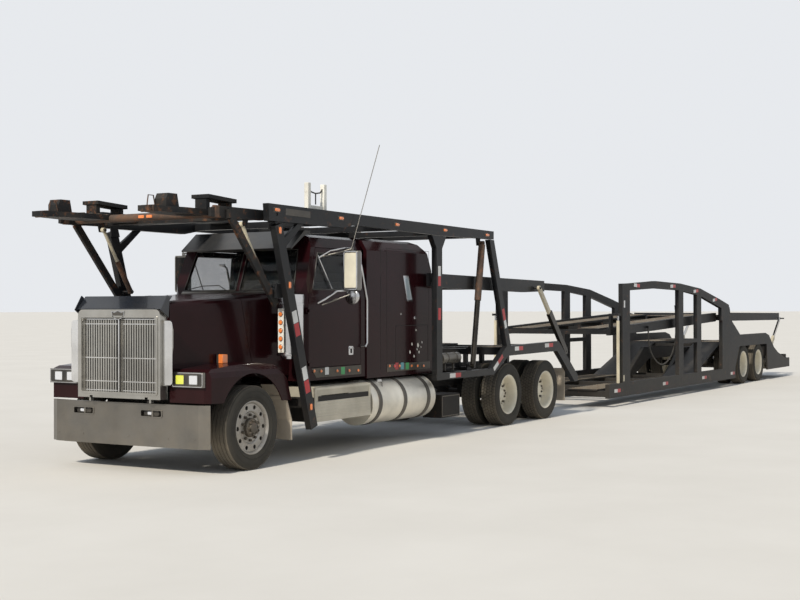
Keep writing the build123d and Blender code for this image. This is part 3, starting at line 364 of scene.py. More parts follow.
def inset(outline, width):
    """The outline moved inwards by a width, with mitred corners."""
    area = sum(a[0] * b[1] - b[0] * a[1] for a, b in zip(outline, outline[1:] + outline[:1]))
    turn = 1 if area > 0 else -1
    moved = []
    for before, at, after in zip(outline[-1:] + outline[:-1], outline, outline[1:] + outline[:1]):
        first = Vector((at[0] - before[0], at[1] - before[1])).normalized()
        second = Vector((after[0] - at[0], after[1] - at[1])).normalized()
        normal = Vector((-first.y, first.x)) + Vector((-second.y, second.x))
        share = max(0.3, normal.length_squared / 2)
        moved.append((at[0] + normal.x * turn * width / share, at[1] + normal.y * turn * width / share))
    return moved


def rounded(low, high, radius, steps=3):
    """A rectangle's outline with round corners."""
    low, high = [min(pair) for pair in zip(low, high)], [max(pair) for pair in zip(low, high)]
    points = []
    corners = ((high[0], high[1], 0), (low[0], high[1], 90), (low[0], low[1], 180), (high[0], low[1], 270))
    for x, z, start in corners:
        cx = x - math.copysign(radius, x - (low[0] + high[0]) / 2)
        cz = z - math.copysign(radius, z - (low[1] + high[1]) / 2)
        for i in range(steps + 1):
            angle = math.radians(start + 90 * i / steps)
            points.append((cx + radius * math.cos(angle), cz + radius * math.sin(angle)))
    return points


def band(at, inner, outer, half, slope):
    """The section of a strap round a tank, with sloping edges."""
    return [(inner, at - half), (outer, at - half + slope), (outer, at + half - slope), (inner, at + half)]


# Where a flat point (a, b) at a distance t goes, from the front (x), from the side (y) and from above (z)
PLANES = {"x": lambda a, b, t: (t, a, b), "y": lambda a, b, t: (a, t, b), "z": lambda a, b, t: (a, b, t)}


class Shape:
    """A mesh under construction. use() sets the finish of what is added next."""

    def __init__(self, finish_name):
        self.mesh = bmesh.new()
        self.names = []
        self.use(finish_name)

    def use(self, name):
        if name not in self.names:
            self.names.append(name)
        self.index = self.names.index(name)
        return self

    def face(self, corners):
        self.mesh.faces.new(corners).material_index = self.index

    def loft(self, rings, caps=True, closed=False):
        """Skin over rings of points, capped at both ends or joined last to first."""
        rows = [[self.mesh.verts.new(point) for point in ring] for ring in rings]
        pairs = list(zip(rows, rows[1:])) + ([(rows[-1], rows[0])] if closed else [])
        for low, high in pairs:
            for i in range(len(low)):
                j = (i + 1) % len(low)
                self.face((low[i], low[j], high[j], high[i]))
        if caps and not closed:
            self.face(rows[0][::-1])
            self.face(rows[-1])
        return [vert for row in rows for vert in row]

    def layers(self, axis, *stack, closed=False):
        """Skin over outlines, each at its own distance along an axis."""
        self.loft([[PLANES[axis](a, b, at) for a, b in outline] for outline, at in stack], closed=closed)
        return self

    def plate(self, outline, span, axis="y", bevel=0):
        """An outline made thick, with its edges cut where there is a bevel."""
        low, high = min(span), max(span)
        if not bevel:
            return self.layers(axis, (outline, low), (outline, high))
        bevel = min(bevel, (high - low) / 2.2)
        small = inset(outline, bevel)
        return self.layers(axis, (small, low), (outline, low + bevel), (outline, high - bevel), (small, high))

    def frame(self, outline, width, span, axis="y"):
        """A flat frame of a given width along the inside of an outline."""
        near, far = span
        inner = inset(outline, width)
        return self.layers(axis, (outline, near), (outline, far), (inner, far), (inner, near), closed=True)

    def pad(self, low, high, radius, span, bevel=0, axis="x"):
        """A plate with round corners."""
        return self.plate(rounded(low, high, radius), span, axis, bevel)

    def rim(self, low, high, radius, width, span):
        """A frame with round corners, on a face that looks forwards."""
        return self.frame(rounded(low, high, radius), width, span, "x")

    def box(self, x, y, z, bevel=3):
        """A box with all its edges cut."""
        cut = max(0.01, min(bevel, abs(x[1] - x[0]) / 3, abs(z[1] - z[0]) / 3))
        return self.plate(rounded((min(x), min(z)), (max(x), max(z)), cut, 1), y, "y", cut)

    def turn(self, section, centre=(0, 0, 0), axis="y", steps=48):
        """A closed section of (radius, distance along the axle) points, turned about the axle."""
        rings = []
        for i in range(steps):
            angle = 2 * math.pi * i / steps
            c, s = math.cos(angle), math.sin(angle)
            spots = [PLANES[axis](r * c, r * s, d) for r, d in section]
            rings.append([tuple(a + b for a, b in zip(centre, spot)) for spot in spots])
        verts = self.loft(rings, closed=True)
        bmesh.ops.remove_doubles(self.mesh, verts=verts, dist=0.01)
        return self

    def drum(self, centre, span, radius, axis="y", steps=24, bevel=2):
        """A disc or bar along an axis, with its rims cut."""
        low, high = min(span), max(span)
        cut = min(bevel, (high - low) / 3, radius / 3)
        section = [(0, low), (radius - cut, low), (radius, low + cut), (radius, high - cut), (radius - cut, high),
                   (0, high)]
        return self.turn(section, centre, axis, steps)

    def tube(self, points, radius, sides=10):
        """A round bar along a line of points."""
        points = [Vector(point) for point in points]
        heading = (points[1] - points[0]).normalized()
        side = heading.orthogonal().normalized()
        turns = [2 * math.pi * k / sides for k in range(sides)]
        rings = []
        for i, point in enumerate(points):
            ahead = (points[min(i + 1, len(points) - 1)] - points[max(i - 1, 0)]).normalized()
            side = (side - ahead * side.dot(ahead)).normalized()
            up = ahead.cross(side)
            rings.append([point + radius * (side * math.cos(a) + up * math.sin(a)) for a in turns])
        self.loft(rings)
        return self

    def loop(self, points, radius):
        """A round bar along a closed loop of points."""
        return self.tube(points + points[:2], radius, 8)

    def mirror(self):
        """Adds the same again on the other side of the vehicle."""
        made = bmesh.ops.duplicate(self.mesh, geom=self.mesh.verts[:] + self.mesh.edges[:] + self.mesh.faces[:])
        for item in made["geom"]:
            if isinstance(item, bmesh.types.BMVert):
                item.co.y = -item.co.y
        return self

    def to_mesh(self, name, at_axle=False):
        """A Blender mesh in metres, outside out, with hard edges only where it turns sharply."""
        bmesh.ops.recalc_face_normals(self.mesh, faces=self.mesh.faces)
        self.mesh.transform(Matrix.Scale(MM, 4))
        if at_axle:
            self.mesh.transform(Matrix.Translation((AXLE_X, 0, 0)))
        mesh = bpy.data.meshes.new(name)
        self.mesh.to_mesh(mesh)
        self.mesh.free()
        for made in self.names:
            mesh.materials.append(finish(made))
        mesh.shade_smooth()
        mesh.set_sharp_from_angle(angle=SHARP_ANGLE)
        return mesh

    def piece(self, name, body, slot):
        return as_piece(self.to_mesh(name, at_axle=True), name, body)


def in_scene(name, data):
    """A new object in the scene."""
    obj = bpy.data.objects.new(name, data)
    bpy.context.collection.objects.link(obj)
    return obj


def as_piece(mesh, name, body):
    """An object for a finished mesh, riding on a body."""
    obj = in_scene(name, mesh)
    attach(obj, body)
    return obj


# Geometry Nodes for what repeats
def pattern_tree(name):
    """Copies of the object's own mesh, Count of them a Step apart or round an Axle, in Rows a Row Step apart."""
    ringed = name == "rings"
    tree = bpy.data.node_groups.new(name, "GeometryNodeTree")
    labels = (("Geometry", "Geometry"), ("Count", "Int"), ("Axle" if ringed else "Step", "Vector"), ("Rows", "Int"),
              ("Row Step", "Vector"), ("Material", "Material"))
    for label, kind in labels:
        tree.interface.new_socket(label, in_out="INPUT", socket_type="NodeSocket" + kind)
    tree.interface.new_socket("Geometry", in_out="OUTPUT", socket_type="NodeSocketGeometry")
    given = tree.nodes.new("NodeGroupInput").outputs
    count = given["Count"]
    index = node(tree, "GeometryNodeInputIndex")
    place = maths(tree, "MODULO", index, count)
    row = maths(tree, "FLOOR", maths(tree, "DIVIDE", maths(tree, "ADD", index, 0.5), count))
    spot = node(tree, "ShaderNodeVectorMath", "SCALE", Vector=given["Row Step"], Scale=row)
    if not ringed:
        across = node(tree, "ShaderNodeVectorMath", "SCALE", Vector=given["Step"], Scale=place)
        spot = node(tree, "ShaderNodeVectorMath", "ADD", i0=across, i1=spot)
    points = node(tree, "GeometryNodePoints", Count=maths(tree, "MULTIPLY", count, given["Rows"]), Position=spot)
    copies = add(tree, "GeometryNodeInstanceOnPoints", Points=points, Instance=given["Geometry"])
    if ringed:
        staggered = maths(tree, "MULTIPLY_ADD", row, 0.5, place)
        angle = maths(tree, "MULTIPLY", staggered, maths(tree, "DIVIDE", 2 * math.pi, count))
        turned = node(tree, "FunctionNodeAxisAngleToRotation", Axis=given["Axle"], Angle=angle)
        fill(tree, copies, {"Rotation": turned})
    real = node(tree, "GeometryNodeRealizeInstances", Geometry=copies.outputs[0])
    coloured = node(tree, "GeometryNodeSetMaterial", Geometry=real, Material=given["Material"])
    add(tree, "NodeGroupOutput", Geometry=coloured)
    return tree


def patterned(item, name, kind, finish_name, **values):
    """Runs an item's mesh through a tree and returns the result as a plain mesh. Steps are in metres."""
    tree = bpy.data.node_groups.get(kind) or pattern_tree(kind)
    obj = in_scene(name, item)
    modifier = obj.modifiers.new("pattern", "NODES")
    modifier.node_group = tree
    values = {"Rows": 1, "Material": finish(finish_name), **values}
    for socket in tree.interface.items_tree:
        key = socket.name.replace(" ", "_")
        if socket.in_out == "INPUT" and key in values:
            modifier[socket.identifier] = values[key]
    bpy.context.view_layer.update()
    graph = bpy.context.evaluated_depsgraph_get()
    mesh = bpy.data.meshes.new_from_object(obj.evaluated_get(graph))
    obj.modifiers.remove(modifier)
    bpy.data.objects.remove(obj)
    mesh.name = name
    return mesh


def row_piece(shape, name, body, count, step, row_step):
    """Two rows of one small shape, as a piece. Steps are in millimetres."""
    item = shape.to_mesh(name + "_item", at_axle=True)
    mesh = patterned(item, name, "straight_rows", shape.names[0], Count=count, Rows=2,
                     Step=tuple(c * MM for c in step), Row_Step=tuple(c * MM for c in row_step))
    return as_piece(mesh, name, body)


def moved(mesh, name, x, y, z, side=1):
    """A copy of a mesh built about the origin, moved to a place and turned over for the right side."""
    copy = mesh.copy()
    copy.name = name
    copy.transform(Matrix.Translation((x * MM + AXLE_X, y * MM * side, z * MM)) @ Matrix.Diagonal((1, side, 1, 1)))
    if side < 0:
        copy.flip_normals()
    return copy


def joined(meshes, name):
    """Several meshes as one, each keeping its own materials."""
    names, whole = [], bmesh.new()
    for mesh in meshes:
        start = len(whole.faces)
        whole.from_mesh(mesh)
        whole.faces.ensure_lookup_table()
        for made in mesh.materials:
            if made not in names:
                names.append(made)
        for face in whole.faces[start:]:
            face.material_index = names.index(mesh.materials[face.material_index])
    mesh = bpy.data.meshes.new(name)
    whole.to_mesh(mesh)
    whole.free()
    for made in names:
        mesh.materials.append(made)
    return mesh


# Wheels, built about their own centres with the axle along y and the outer face at positive y
def ring_of_holes(shape, radii, depths, hole_r, count=10):
    """A disc's ring between two radii, with round holes through it."""
    middle, half = (radii[0] + radii[1]) / 2, (radii[1] - radii[0]) / 2
    ways = [(math.cos(math.pi * i / 8), math.sin(math.pi * i / 8)) for i in range(16)]
    made = []
    for k in range(count):
        turn = 2 * math.pi * k / count
        c, s = math.cos(turn), math.sin(turn)
        edges, holes = [], []
        for d in depths:
            edge, hole = [], []
            for u, v in ways:
                reach = max(abs(u), abs(v))
                swing = turn + math.pi * v / reach / count
                r = middle + half * u / reach
                edge.append((r * math.cos(swing), d, r * math.sin(swing)))
                r, across = middle + hole_r * u, hole_r * v
                hole.append((r * c - across * s, d, r * s + across * c))
            edges.append(edge)
            holes.append(hole)
        verts = shape.loft([edges[0], holes[0], holes[1], edges[1]], caps=False)
        first, last = verts[:16], verts[48:]
        for i in range(16):
            j = (i + 1) % 16
            if all(abs(u) > abs(v) - 1e-6 for u, v in (ways[i], ways[j])):
                shape.face((last[i], last[j], first[j], first[i]))
        made += verts
    bmesh.ops.remove_doubles(shape.mesh, verts=made, dist=0.05)


def tyre_mesh(name, radius, width, lugs):
    """A tyre with either straight ribs or rings of lugs."""
    half = width / 2
    side = [
        (RIM_R - 4, 44 - half), (RIM_R + 7, 20 - half), (330, 5 - half), (382, -half), (428, 3 - half),
        (radius - 26, 9 - half), (radius - 13, 19 - half),
    ]
    shape = Shape("tyre_rubber")
    shape.turn(side + [(radius - 8, 0)] + [(r, -d) for r, d in reversed(side)], steps=72)
    for face in (1, -1):
        for r, proud in ((306, 0.82), (345, 0.985), (412, 0.985)):
            at = face * half * proud
            low, high = at - face * 4, at + face * 2
            shape.turn([(r - 4, low), (r - 2, high), (r + 2, high), (r + 4, low)])
    shape.use("dusty_tread")
    if not lugs:
        for k in range(TREAD_RIBS):
            low = -half + 20 + k * (width - 36) / TREAD_RIBS
            high = low + (width - 36) / TREAD_RIBS - 6
            crown = radius - 7 * ((low + high) / width) ** 2
            shape.turn([(radius - 20, low), (crown - 2, low), (crown, low + 3), (crown, high - 3), (crown - 2, high),
                        (radius - 20, high)], steps=72)
        return shape.to_mesh(name)
    carcass = shape.to_mesh(name)
    pitch = (width - 34) / TREAD_RIBS
    block = Shape("dusty_tread").box((-20.5, 20.5), (19 - half, 19 - half + pitch - 6), (radius - 22, radius - 1), 3)
    tread = patterned(block.to_mesh(name + "_lug"), name + "_tread", "rings", "dusty_tread", Count=lugs,
                      Axle=(0.0, 1.0, 0.0), Rows=TREAD_RIBS, Row_Step=(0.0, pitch * MM, 0.0))
    return joined([carcass, tread], name)


def nut_ring(name, radius, at, count=10):
    """Nuts on their studs round a hub."""
    nut = Shape("greasy_hub")
    nut.drum((0, 0, radius), (at, at + 24), 17, "y", 6, 3)
    nut.drum((0, 0, radius), (at + 20, at + 34), 10, "y", 8, 3)
    return patterned(nut.to_mesh(name + "_item"), name, "rings", "greasy_hub", Count=count, Axle=(0.0, 1.0, 0.0))


def front_rim_mesh():
    """A front rim: its bead, its barrel, its disc with hand holes, and the hub through it."""
    shape = Shape("polished_rim")
    shape.turn([(304, 112), (304, 120), (296, 124), (284, 116), (272, 96), (268, 84), (268, 60), (276, 60), (280, 84),
                (290, 104)], steps=72)
    shape.turn([(286, -118), (296, -124), (304, -118), (304, -112), (290, -100), (272, -60), (272, 70), (262, 70),
                (262, -60), (276, -100)], steps=72)
    ring_of_holes(shape, (196, 270), (92, 78), 25)
    shape.turn([(198, 93), (190, 97), (178, 90), (170, 78), (108, 78), (108, 62), (198, 62)], steps=72)
    shape.use("greasy_hub")
    shape.turn([(0, 148), (46, 148), (60, 142), (62, 128), (96, 124), (106, 112), (110, 76), (0, 76)], steps=40)
    shape.turn(oblong((0, 60), (205, -40)), steps=40)
    nuts, studs = nut_ring("front_nuts", NUT_CIRCLE_R, 78), nut_ring("hub_studs", 78, 116, 8)
    return joined([shape.to_mesh("front_rim"), nuts, studs], "front_rim")


def dished_rim_mesh():
    """The outer rim of a pair, with its disc set deep, and the hub through it."""
    shape = Shape("cream_rim")
    shape.turn([(303, 108), (303, 117), (296, 121), (286, 115), (270, 92), (262, 60), (258, -20), (252, -58),
                (262, -62), (268, -20), (272, 60), (280, 92)], steps=72)
    ring_of_holes(shape, (182, 260), (-44, -56), 27)
    shape.turn([(184, -44), (176, -38), (166, -36), (112, -36), (112, -54), (184, -54)], steps=72)
    shape.turn([(0, 8), (58, 8), (74, 0), (82, -14), (112, -18), (114, -38), (0, -38)], steps=40)
    shape.use("greasy_hub").turn(oblong((0, -70), (206, -160)), steps=40)
    return joined([shape.to_mesh("dished_rim"), nut_ring("wheel_nuts", NUT_CIRCLE_R, -36)], "dished_rim")


def inner_rim_mesh():
    """The inner rim of a pair, of which only the barrel and the disc show."""
    shape = Shape("cream_rim")
    shape.turn([(303, -120), (303, -108), (270, -80), (262, 40), (270, 100), (303, 108), (303, 118), (286, 112),
                (254, 40), (262, -80), (286, -114)])
    shape.turn([(255, -20), (255, -34), (100, -34), (100, -20)])
    return shape.to_mesh("inner_rim")


class TransporterFinish(bpy.types.PropertyGroup):
    """Colours and counts that the finishes and fittings share."""

    paint: bpy.props.FloatVectorProperty(
        name="Paint", description="Colour of the cab, sleeper and hood", subtype="COLOR", size=3, min=0, max=1,
        default=(0.019, 0.0035, 0.0050),
    )
    frame_paint: bpy.props.FloatVectorProperty(
        name="Frame paint", description="Colour of rack, decks and trailer", subtype="COLOR", size=3, min=0, max=1,
        default=(0.008, 0.009, 0.011),
    )
    lugs: bpy.props.IntProperty(
        name="Tread lugs", description="Lugs round each drive tyre", default=62, min=12, max=90,
    )
    slat_pitch: bpy.props.FloatProperty(
        name="Slat pitch", description="Distance between the cross bars on the decks", default=0.125, min=0.05,
        max=0.5, unit="LENGTH",
    )


NODE_FINISHES = {
    "maroon_paint": ("cab", "sleeper", "door_left", "door_right", "hood"),
    "dull_chrome": ("front_bumper", "headlamps", "mirror_left", "mirror_right"),
    "grille_chrome": ("grille",),
    "bright_chrome": ("air_cleaners",),
    "tank_aluminium": ("fuel_tanks",),
    "step_plate": ("step_boxes",),
    "visor_metal": ("sun_visor",),
    "smoke_screen": ("bug_deflector",),
    "window_glass": ("cab_glass", "door_glass_left", "door_glass_right"),
    "cab_trim": ("cab_interior",),
    "flap_rubber": ("mud_flaps",),
    "frame_black": ("chassis", "tractor_axles", "engine_block", "knuckle_left", "knuckle_right", "trailer_axles"),
    "black_steel": ("rack", "rack_posts", "wheel_deck", "rear_platform"),
    "worn_black": ("head_ramp",),
    "trailer_steel": ("trailer_frame", "trailer_floor", "trailer_tail", "trailer_arches", "front_upper_deck",
                      "rear_upper_deck"),
    "cream_paint": ("ramp_lift_rods", "platform_leg_rods", "front_lift_barrels", "rear_leg_tubes"),
    "rusty_steel": ("ramp_lift_barrels", "rack_lift_barrels"),
    "oiled_steel": ("rack_lift_rods", "platform_leg_tubes"),
    "rod_chrome": ("front_lift_rods", "rear_leg_rods"),
}
EDGED = (
    "rack", "rack_posts", "wheel_deck", "rear_platform", "trailer_frame", "trailer_arches", "trailer_tail",
    "step_boxes",
)


class TRANSPORTER_OT_paint(bpy.types.Operator):
    """Gives the solids their finishes and softens the edges of the steel frames"""

    bl_idname = "transporter.paint"
    bl_label = "Paint the solids"

    def execute(self, context):
        for name, nodes in NODE_FINISHES.items():
            for each in nodes:
                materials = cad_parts[each].data.materials
                materials.clear()
                materials.append(finish(name))
        for each in EDGED:
            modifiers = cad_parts[each].modifiers
            modifiers.new("weld", "WELD").merge_threshold = EDGE_WELD_M
            bevel = modifiers.new("bevel", "BEVEL")
            bevel.width = EDGE_WIDTH_M
            bevel.segments = 2
            bevel.limit_method = "ANGLE"
            bevel.angle_limit = EDGE_ANGLE
            bevel.harden_normals = True
        return {"FINISHED"}


class TRANSPORTER_OT_front_wheels(bpy.types.Operator):
    """Front tyres with straight ribs, rims with round hand holes, hubs and nuts"""

    bl_idname = "transporter.front_wheels"
    bl_label = "Front wheels"

    def execute(self, context):
        tyre, rim = tyre_mesh("front_tyre", TYRE_R, FRONT_TYRE_WIDTH, 0), front_rim_mesh()
        for side, word in SIDES:
            for mesh, kind, slot in ((tyre, "tyre", "tyre"), (rim, "rim", "rim_aluminium")):
                name = f"front_wheel_{kind}_{word}"
                placed = moved(mesh, name, 0, FRONT_WHEEL_Y, TYRE_R, side)
                obj = as_piece(placed, name, f"front_wheel_{word}")
                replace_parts(obj, f"front_{kind}_{word}")
        return {"FINISHED"}


class TRANSPORTER_OT_twin_wheels(bpy.types.Operator):
    """Twin wheels of truck and trailer, with dished cream rims, hand holes, hubs and nuts"""

    bl_idname = "transporter.twin_wheels"
    bl_label = "Twin wheels"

    def execute(self, context):
        lugs = context.scene.transporter_finish.lugs
        dish, inner = dished_rim_mesh(), inner_rim_mesh()
        groups = (
            ("drive_wheel", DRIVE_AXLES_X, DRIVE_WHEEL_Y, TYRE_R, lugs),
            ("trailer_wheel", TRAILER_AXLES_X, TRAILER_WHEEL_Y, TRAILER_TYRE_R, 0),
        )
        for kind, axles, y, radius, count in groups:
            tyre = tyre_mesh(kind + "_tyre", radius, TWIN_TYRE_WIDTH, count)
            for number, x in enumerate(axles, 1):
                for side, word in SIDES:
                    body = f"{kind}_{number}_{word}"
                    for outer, inside, label, slot in (
                        (tyre, tyre, "tyres", "tyre"), (dish, inner, "rims", "rim_aluminium"),
                    ):
                        parts = [moved(outer, "part", x, y, radius, side),
                                 moved(inside, "part", x, y - DUAL_SPACING, radius, side)]
                        name = f"{body}_{label}"
                        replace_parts(as_piece(joined(parts, name), name, body), body)
        return {"FINISHED"}


class TRANSPORTER_OT_front(bpy.types.Operator):
    """Radiator core, blank badge, lamps and bumper fittings"""

    bl_idname = "transporter.front"
    bl_label = "Grille, lamps and bumper"

    def execute(self, context):
        core = Shape("radiator_core").box((806, 812), (-546, 546), (892, 1710), 1)
        core.piece("radiator_screen", "hood", "frame_black")
        trim = Shape("polished")
        for z in (905, 1005, 1266, 1643, 1697):
            trim.box((883, 888), (-545, 545), near(z, 5), 1)
        trim.use("black_seam").plate(oblong((-24, 892), (24, 1710)), (904, 907), "x")
        trim.use("polished").box((907, 914), (-8, 8), (892, 1710), 2)
        shield = [(-98, 1788), (-84, 1728), (-40, 1700), (0, 1690), (40, 1700), (84, 1728), (98, 1788), (50, 1776),
                  (0, 1796), (-50, 1776)]
        trim.use("dull_strap").plate(shield, (918, 924), "x", 2)
        trim.use("bright_chrome").frame(shield, 7, (922, 927), "x")
        trim.use("grille_chrome").rim((-574, 866), (574, 1736), 34, 20, (918, 927))
        trim.piece("grille_badge_plate", "hood", "bright_chrome")
        ears = Shape("polished").pad((612, 982), (748, 1682), 40, (881, 885), 1.5)
        ears.mirror().piece("grille_side_covers", "hood", "bright_chrome")
        for side, word in SIDES:
            lamps = Shape("black_plastic").pad((side * 724, 978), (side * 1112, 1110), 18, (823, 836.5), 2)
            lamps.use("bright_chrome").rim((side * 706, 966), (side * 1129, 1122), 22, 8, (830, 840))
            for low, high in ((746, 876), (932, 1064)):
                lamps.use("dull_chrome").rim((side * low, 986), (side * high, 1102), 16, 7, (834, 841))
            for low, high, colour in ((756, 866, "lens_yellow" if side > 0 else "lens_clear"),
                                      (942, 1054, "lens_clear")):
                lamps.use(colour).pad((side * low, 996), (side * high, 1092), 10, (834, 840), 3)
            lamps.use("lens_amber").box((-3, 91), (side * 738, side * 803), (1189, 1293), 6)
            lamps.piece(f"headlamp_lenses_{word}", "hood", "window_glass")
        bumper = Shape("dull_chrome")
        for low, high in ((-760, -460), (250, 550)):
            bumper.rim((low - 10, 616), (high + 10, 709), 26, 14, (826, 836))
            bumper.use("black_plastic").pad((low + 18, 630), (high - 60, 695), 22, (772, 806), 6)
            bumper.use("lens_clear").pad((low + 76, 644), (high - 150, 682), 14, (800, 811), 4)
            bumper.use("dull_chrome")
        for y in (-1010, -620, 60, 640, 1000):
            bumper.drum((0, y, 400), (828, 836) if abs(y) < 700 else (806, 822), 9, "x", 12)
        bumper.piece("bumper_fittings", "tractor", "brushed_chrome")
        return {"FINISHED"}


class TRANSPORTER_OT_cab(bpy.types.Operator):
    """Screen trims, wipers, handles, seams, locker and the lamp strips under the doors"""

    bl_idname = "transporter.cab"
    bl_label = "Cab and sleeper fittings"

    def execute(self, context):
        screen = Shape("black_plastic")
        for side in (1, -1):
            corners = [(30, 2036), (862, 2036), (795, 2534), (30, 2534)]
            screen.loop([(on_screen(z), side * y, z) for y, z in corners], 9)
            wiper = ((2016, 16, 120, 2016), (2080, 8, 300, 2100), (2090, 8, 560, 2096), (2050, 8, 800, 2050))
            screen.tube([(on_screen(level) + proud, side * y, z) for level, proud, y, z in wiper], 6, 6)
            screen.drum((on_screen(2012) + 6, side * 120, 0), (2000, 2024), 18, "z", 12)
        screen.use("dull_chrome").plate([(-1176, 1996), (-1168, 2004), (-1196, 2028), (-1204, 2022)], (-880, 880),
                                        "y", 2)
        screen.piece("windscreen_trim", "tractor", "frame_black")
        fittings = Shape("bright_chrome")
        fittings.tube([(-2219, 1010, 2396), (-2219, 1090, 2396), (-2300, 1092, 2386), (-2360, 1090, 2362),
                       (-2501, 1090, 1914), (-2499, 1090, 1360), (-2460, 1090, 1318), (-2450, 1035, 1313)], 15, 12)
        fittings.frame(inset(SLEEPER_WINDOW, -22), 20, (1049, 1056))
        # The sleeper window pane is opaque pale blue-grey: a painted sky reflection, not clear glass
        fittings.use("pale_pane").plate(inset(SLEEPER_WINDOW, -4), (1040, 1051))
        fittings.use("bright_chrome").box((-3810, -3760), (1049, 1060), (1655, 1690), 4)
        fittings.use("black_seam").box((-2902, -2894), (1049, 1051.5), (1000, 2640), 1)
        fittings.frame(oblong((-3280, 1050), (-4145, 1575)), 7, (1049, 1051.5))
        fittings.frame(oblong((-3050, 985), (-4180, 2600)), 5, (1049, 1051))
        fittings.use("dull_skirt")
        fittings.plate([(-1330, 1078), (-2440, 1078), (-2440, 962), (-1420, 962)], (1034, DOOR_SKIRT_Y), "y", 1)
        fittings.plate(oblong((-3050, 1062), (-4200, 960)), (1049, SLEEPER_SKIRT_Y), "y", 1)
        door_lamps = ((-1373, 1048), (-1524, 1040), (-1877, 1028), (-2150, 1020), (-2361, 1012))
        sleeper_lamps = ((-3106, 1039), (-3235, 1034), (-3365, 1030), (-3683, 1018), (-3846, 1012), (-4012, 1004))
        for y, lamps in ((DOOR_SKIRT_Y, door_lamps), (SLEEPER_SKIRT_Y, sleeper_lamps)):
            for x, z in lamps:
                fittings.use("dull_chrome").drum((x, 0, z), (y - 2, y + 4), 24, "y", 16)
                fittings.use("lens_red" if x == -3235 else "lens_amber").drum((x, 0, z), (y, y + 16), 18, "y", 16, 6)
        for x, z, y, colour in (
            (-1655, 1036, DOOR_SKIRT_Y, "tape_white"), (-2013, 1024, DOOR_SKIRT_Y, "label_green"),
            (-3300, 1030, SLEEPER_SKIRT_Y, "tape_red"), (-3443, 1026, SLEEPER_SKIRT_Y, "label_blue"),
            (-3576, 1020, SLEEPER_SKIRT_Y, "label_green"),
        ):
            fittings.use(colour).box(near(x, 42), (y - 1, y + 1.5), near(z, 46), 1)
        fittings.mirror()
        # Chips in the paint low on the driver's side of the sleeper, each as (x, z, size)
        fittings.use("white_post")
        outline = ((1.0, 0.1), (0.4, 0.9), (-0.5, 0.6), (-1.0, -0.3), (-0.1, -1.1), (0.7, -0.6))
        for x, z, size in ((-3419, 1728, 10), (-3820, 1505, 12), (-3710, 1315, 17), (-3874, 1297, 26),
                           (-3984, 1336, 14), (-3656, 1208, 20), (-3764, 1149, 16), (-3901, 1200, 18),
                           (-3956, 1268, 11), (-3850, 1240, 13)):
            fittings.plate([(x + a * size, z + b * size * 1.3) for a, b in outline], (1049.5, 1050.8))
        fittings.piece("cab_side_fittings", "tractor", "bright_chrome")
        return {"FINISHED"}


class TRANSPORTER_OT_doors(bpy.types.Operator):
    """Window rubbers, vent bars, door handles, mirror faces and mirror loops"""

    bl_idname = "transporter.doors"
    bl_label = "Doors and mirrors"

    def execute(self, context):
        for side, word in SIDES:
            shape = Shape("black_plastic").loop([(x, side * (cab_side(z) - 2), z) for x, z in DOOR_WINDOW], 10)
            shape.use("bright_chrome")
            shape.tube([(x, side * (cab_side(z) + 2), z) for x, z in ((-1530, 2470), (-1785, 2050))], 8)
            shape.pad((-2255, 1215), (-2150, 1330), 14, (side * 1033, side * 1040), 3, "y")
            shape.use("black_seam").pad((-2222, 1238), (-2184, 1308), 12, (side * 1038, side * 1042), 1, "y")
            shape.use("bright_chrome").box((-2250, -2156), (side * 1040, side * 1056), (1296, 1312), 5)
            shape.piece(f"door_fittings_{word}", f"door_{word}", "bright_chrome")
            # The near mirror's forward face is painted pale cream as sunlight on it; the far mirror's same face is
            # painted black as shade
            glass = Shape("mirror_front" if side > 0 else "frame_black")
            glass.pad((side * 1262, 2060), (side * 1438, 2490), 20, (-1721, -1714), 2)
            glass.use("mirror_silver").pad((side * 1262, 2060), (side * 1438, 2490), 20, (-1806, -1799), 2)
            # Bright chrome near and dull chrome far: a painted lit copy and a painted shaded copy of one rim and its
            # arms
            glass.use("bright_chrome" if side > 0 else "dull_chrome")
            glass.rim((side * 1252, 2034), (side * 1448, 2512), 26, 12, (-1812, -1708))
            lower_arm = ((-1470, 1030, 1872), (-1530, 1110, 1925), (-1640, 1200, 2020), (-1745, 1260, 2024))
            upper_arm = ((-1500, 1020, 2430), (-1620, 1120, 2520), (-1750, 1250, 2550), (-1760, 1340, 2545))
            for arm, radius in ((lower_arm, 12), (upper_arm, 11)):
                glass.tube([(x, side * y, z) for x, y, z in arm], radius)
            glass.turn([(0, -1732), (84, -1732), (94, -1738), (96, -1756), (90, -1778), (0, -1784)],
                       (0, side * 1350, 1950), "x", 32)
            glass.piece(f"mirror_faces_{word}", f"door_{word}", "bright_chrome")
        return {"FINISHED"}


